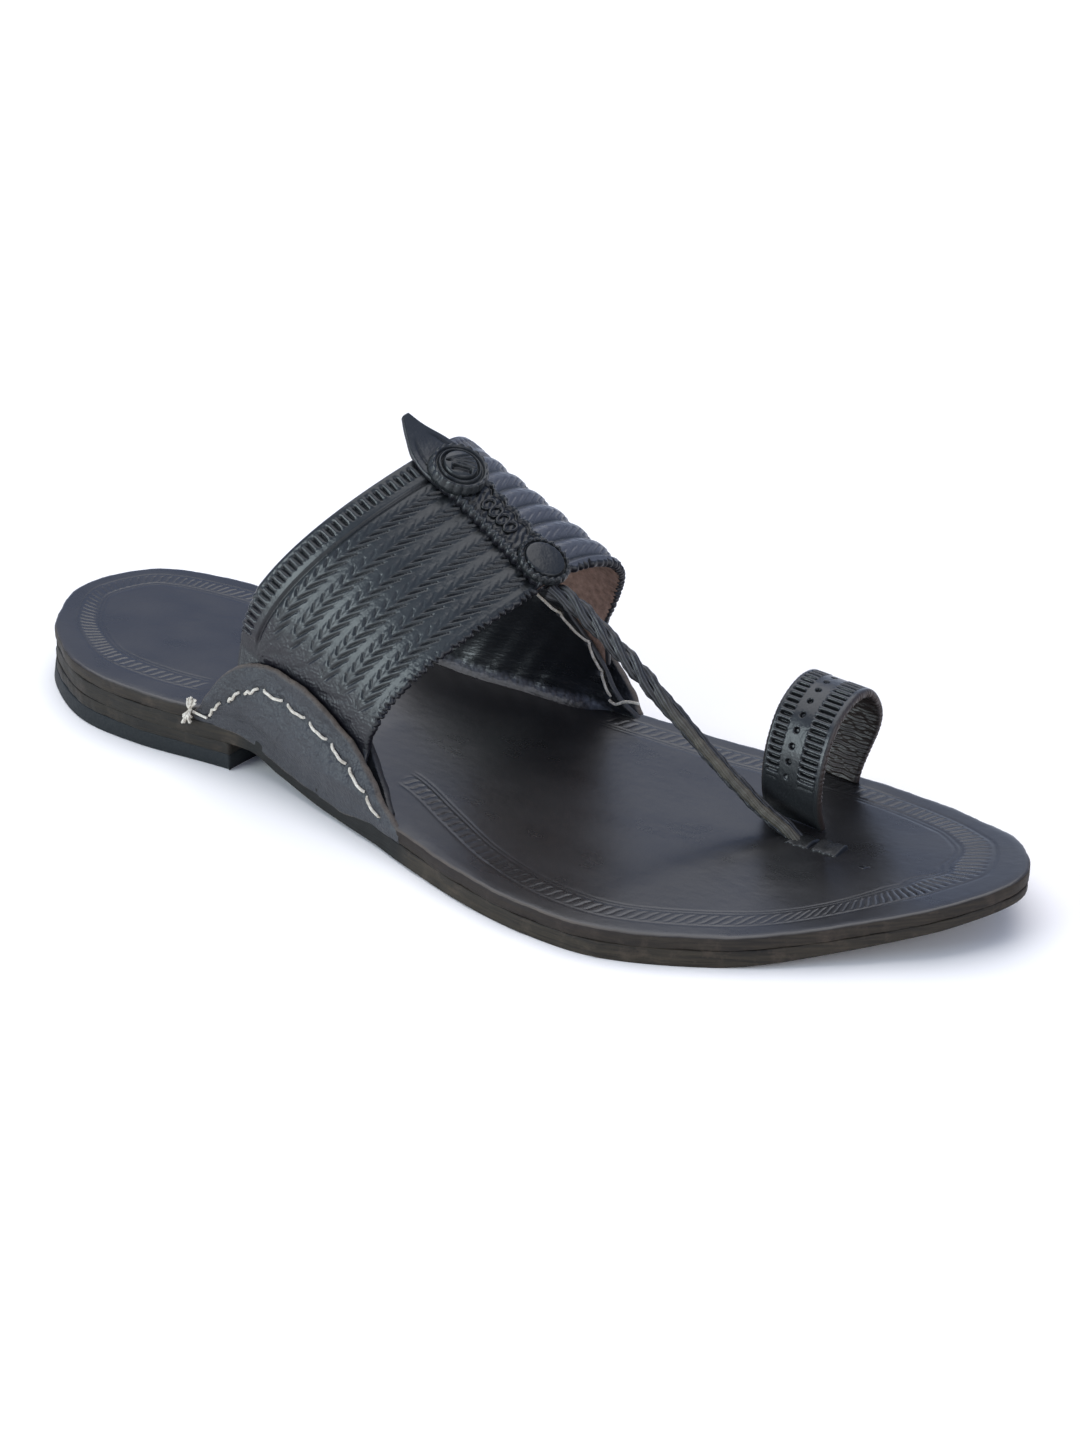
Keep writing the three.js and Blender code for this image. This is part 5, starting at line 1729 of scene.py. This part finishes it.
def thread_tree():
    tree, given = start_tree("thread_along_paths", Thread_radius="Float", Sides="Int", Thread="Material")
    paths = add_node(tree, "GeometryNodeMeshToCurve", Mesh=given["Geometry"])
    share = add_node(tree, "GeometryNodeInputNamedAttribute", {"data_type": "FLOAT"}, Name="thickness")
    sized = add_node(
        tree, "GeometryNodeSetCurveRadius",
        Curve=paths.outputs["Curve"], Radius=share.outputs["Attribute"],
    )
    circle = add_node(
        tree, "GeometryNodeCurvePrimitiveCircle",
        Radius=given["Thread radius"], Resolution=given["Sides"],
    )
    swept = add_node(
        tree, "GeometryNodeCurveToMesh",
        Curve=sized.outputs["Curve"], Profile_Curve=circle.outputs["Curve"], Fill_Caps=True,
    )
    return end_tree(tree, swept.outputs["Mesh"], given["Thread"])


THREAD_TREE = thread_tree()


def grow(piece, tree, values):
    modifier = piece.modifiers.new(tree.name, "NODES")
    modifier.node_group = tree
    for socket in tree.interface.items_tree:
        if socket.in_out == "INPUT" and socket.name in values:
            modifier[socket.identifier] = values[socket.name]
    graph = bpy.context.evaluated_depsgraph_get()
    mesh = bpy.data.meshes.new_from_object(piece.evaluated_get(graph))
    piece.modifiers.remove(modifier)
    piece.data = mesh
    mesh.shade_smooth()


print("nodes in the thread tree:", len(THREAD_TREE.nodes))

# %% Thread pieces
STITCH_RADIUS, STITCH_PROUD = 0.40, 0.28
THREAD_SIDES = 9
KINK = {"until": -50.0, "loose": 0.45, "tight": 0.12}
THREAD_TAIL = [(12.6, 12.6), (14.4, 11.8), (17.2, 13.3), (19.4, 13.8), (21.8, 14.0)]
TAIL_STEPS = 12


def thread_piece(name, paths, radius):
    points, edges, thickness = [], [], []
    for path, sizes in paths:
        start = len(points)
        points += ((np.array(path) + FRAME_SHIFT) * MM).tolist()
        thickness += list(sizes)
        edges += [(start + k, start + k + 1) for k in range(len(path) - 1)]
    mesh = bpy.data.meshes.new(name)
    mesh.from_pydata(points, edges, [])
    attribute = mesh.attributes.new("thickness", "FLOAT", "POINT")
    attribute.data.foreach_set("value", np.array(thickness, np.float32))
    piece = add_to_scene(name, mesh)
    grow(piece, THREAD_TREE, {"Thread radius": radius * MM, "Sides": THREAD_SIDES, "Thread": THREAD})
    hand_over(piece)


def stitch_path(side, layer, stitch, steps=15):
    start_y, start_z, end_y, end_z = stitch
    share = np.linspace(0, 1, steps)
    sway = KINK["loose"] if start_y < KINK["until"] else KINK["tight"]
    y = lerp(start_y, end_y, share)
    z = lerp(start_z, end_z, share) + sway * np.sin(share * 11 + start_y) * np.sin(math.pi * share)
    arch = np.sin(math.pi * share) ** 0.45
    depth = EAR_THICKNESS[layer] - 0.75 + (0.75 + STITCH_PROUD) * arch
    path = np.column_stack([ear_face(side, layer, y, z, depth), y, z])
    return path, 0.35 + 0.65 * np.sin(math.pi * share) ** 0.6


def thread_tail():
    y, z = np.array(THREAD_TAIL).T
    hole_y, hole_z = np.full(len(y), y[0]), np.full(len(z), z[0])
    x = ear_face("medial", "inner", hole_y, hole_z, EAR_THICKNESS["inner"] + 0.3)
    path = spline(np.column_stack([x, y, z]))(np.linspace(0, 1, TAIL_STEPS))
    return path, np.linspace(0.9, 1.35, TAIL_STEPS)


for (side, layer), stitches in STITCHES.items():
    paths = [stitch_path(side, layer, stitch) for stitch in stitches]
    if side == "medial":
        paths.append(thread_tail())
    thread_piece(f"stitches_{side}_{layer}", paths, STITCH_RADIUS)

# %% [markdown]
# ## Loops on the crest strip
# A chain of small oval loops is tooled along the crest strip between the bosses. One loop is
# modelled as a ring, and Geometry Nodes set a copy on each point, turned to face away from the strip.

# %% Loop tree
LOOP_POINTS, WIRE_POINTS = 20, 6


def loop_tree():
    tree, given = start_tree(
        "loops_on_points", Loop_radius="Float", Wire_radius="Float", Oval="Vector", Leather="Material",
    )
    big, wire = (
        add_node(tree, "GeometryNodeCurvePrimitiveCircle", Radius=given[label], Resolution=points)
        for label, points in (("Loop radius", LOOP_POINTS), ("Wire radius", WIRE_POINTS))
    )
    ring = add_node(
        tree, "GeometryNodeCurveToMesh",
        Curve=big.outputs["Curve"], Profile_Curve=wire.outputs["Curve"],
    )
    turned = {}
    for name, axis, pivot in (("facing", "Z", "AUTO"), ("onward", "Y", "Z")):
        aim = add_node(tree, "GeometryNodeInputNamedAttribute", {"data_type": "FLOAT_VECTOR"}, Name=name)
        turn = add_node(
            tree, "FunctionNodeAlignRotationToVector", {"axis": axis, "pivot_axis": pivot},
            Vector=aim.outputs["Attribute"], **turned,
        )
        turned = {"Rotation": turn.outputs["Rotation"]}
    placed = add_node(
        tree, "GeometryNodeInstanceOnPoints",
        Points=given["Geometry"], Instance=ring.outputs["Mesh"], Scale=given["Oval"], **turned,
    )
    return end_tree(tree, placed.outputs["Instances"], given["Leather"])


LOOP_TREE = loop_tree()
print("nodes in the loop tree:", len(LOOP_TREE.nodes))

# %% Crest loops
CREST_LOOPS = (20.2, 22.9, 25.6, 28.3)
LOOP = SimpleNamespace(radius=1.5, wire=0.5, oval=(1.35, 0.85, 1.0))
loop_along = np.array(CREST_LOOPS)
loop_count = len(CREST_LOOPS)
loop_height = np.full(loop_count, CREST_THICKNESS + 0.3)
loop_points = crest_point(loop_along, np.zeros(loop_count), loop_height)
loop_facing = band_normal(np.full(loop_count, CREST_PLACE), loop_along / CREST_LENGTH)
loop_onward = np.tile(CREST_FORWARD, (loop_count, 1))
loop_mesh = bpy.data.meshes.new("crest_loops")
loop_mesh.from_pydata(((loop_points + FRAME_SHIFT) * MM).tolist(), [], [])
for name, vectors in (("facing", loop_facing), ("onward", loop_onward)):
    attribute = loop_mesh.attributes.new(name, "FLOAT_VECTOR", "POINT")
    attribute.data.foreach_set("vector", np.ascontiguousarray(vectors, np.float32).ravel())
crest_loops = add_to_scene("crest_loops", loop_mesh)
grow(crest_loops, LOOP_TREE, {
    "Loop radius": LOOP.radius * MM,
    "Wire radius": LOOP.wire * MM,
    "Oval": LOOP.oval,
    "Leather": UPPER_LEATHER,
})
hand_over(crest_loops)

# %% Knot with frayed ends
KNOT = SimpleNamespace(y=-70.6, z=16.2, strands=11, length=3.4, steps=7, radius=0.36, seed=11)
LEAD = SimpleNamespace(end=-66.2, heights=(15.2, 14.4), steps=9)
random = np.random.default_rng(KNOT.seed)
share = np.linspace(0, 1, KNOT.steps)
knot_y, knot_z = np.full(KNOT.steps, KNOT.y), np.full(KNOT.steps, KNOT.z)
knot_x = ear_face("lateral", "outer", knot_y, knot_z, EAR_THICKNESS["outer"])
paths = []
for direction in (1, -1):
    for _ in range(KNOT.strands):
        spread = random.uniform(-1, 1, 3)
        length = KNOT.length * random.uniform(0.7, 1.15)
        y = KNOT.y + direction * 0.6 * share * length * 0.5 + spread[0] * 1.4 * share**1.5
        z = KNOT.z + direction * share * length + spread[1] * 0.8 * share
        out = 0.9 + spread[2] * 0.7 * share + 0.9 * np.sin(math.pi * share * 0.8)
        paths.append((np.column_stack([knot_x + out, y, z]), np.linspace(1.0, 0.7, KNOT.steps)))
lead_y = np.linspace(KNOT.y, LEAD.end, LEAD.steps)
lead_z = lerp(*LEAD.heights, np.linspace(0, 1, LEAD.steps))
lead_x = ear_face("lateral", "outer", lead_y, lead_z, EAR_THICKNESS["outer"] + 0.3)
paths.append((np.column_stack([lead_x, lead_y, lead_z]), np.full(LEAD.steps, 1.0)))
thread_piece("thread_knot", paths, KNOT.radius)
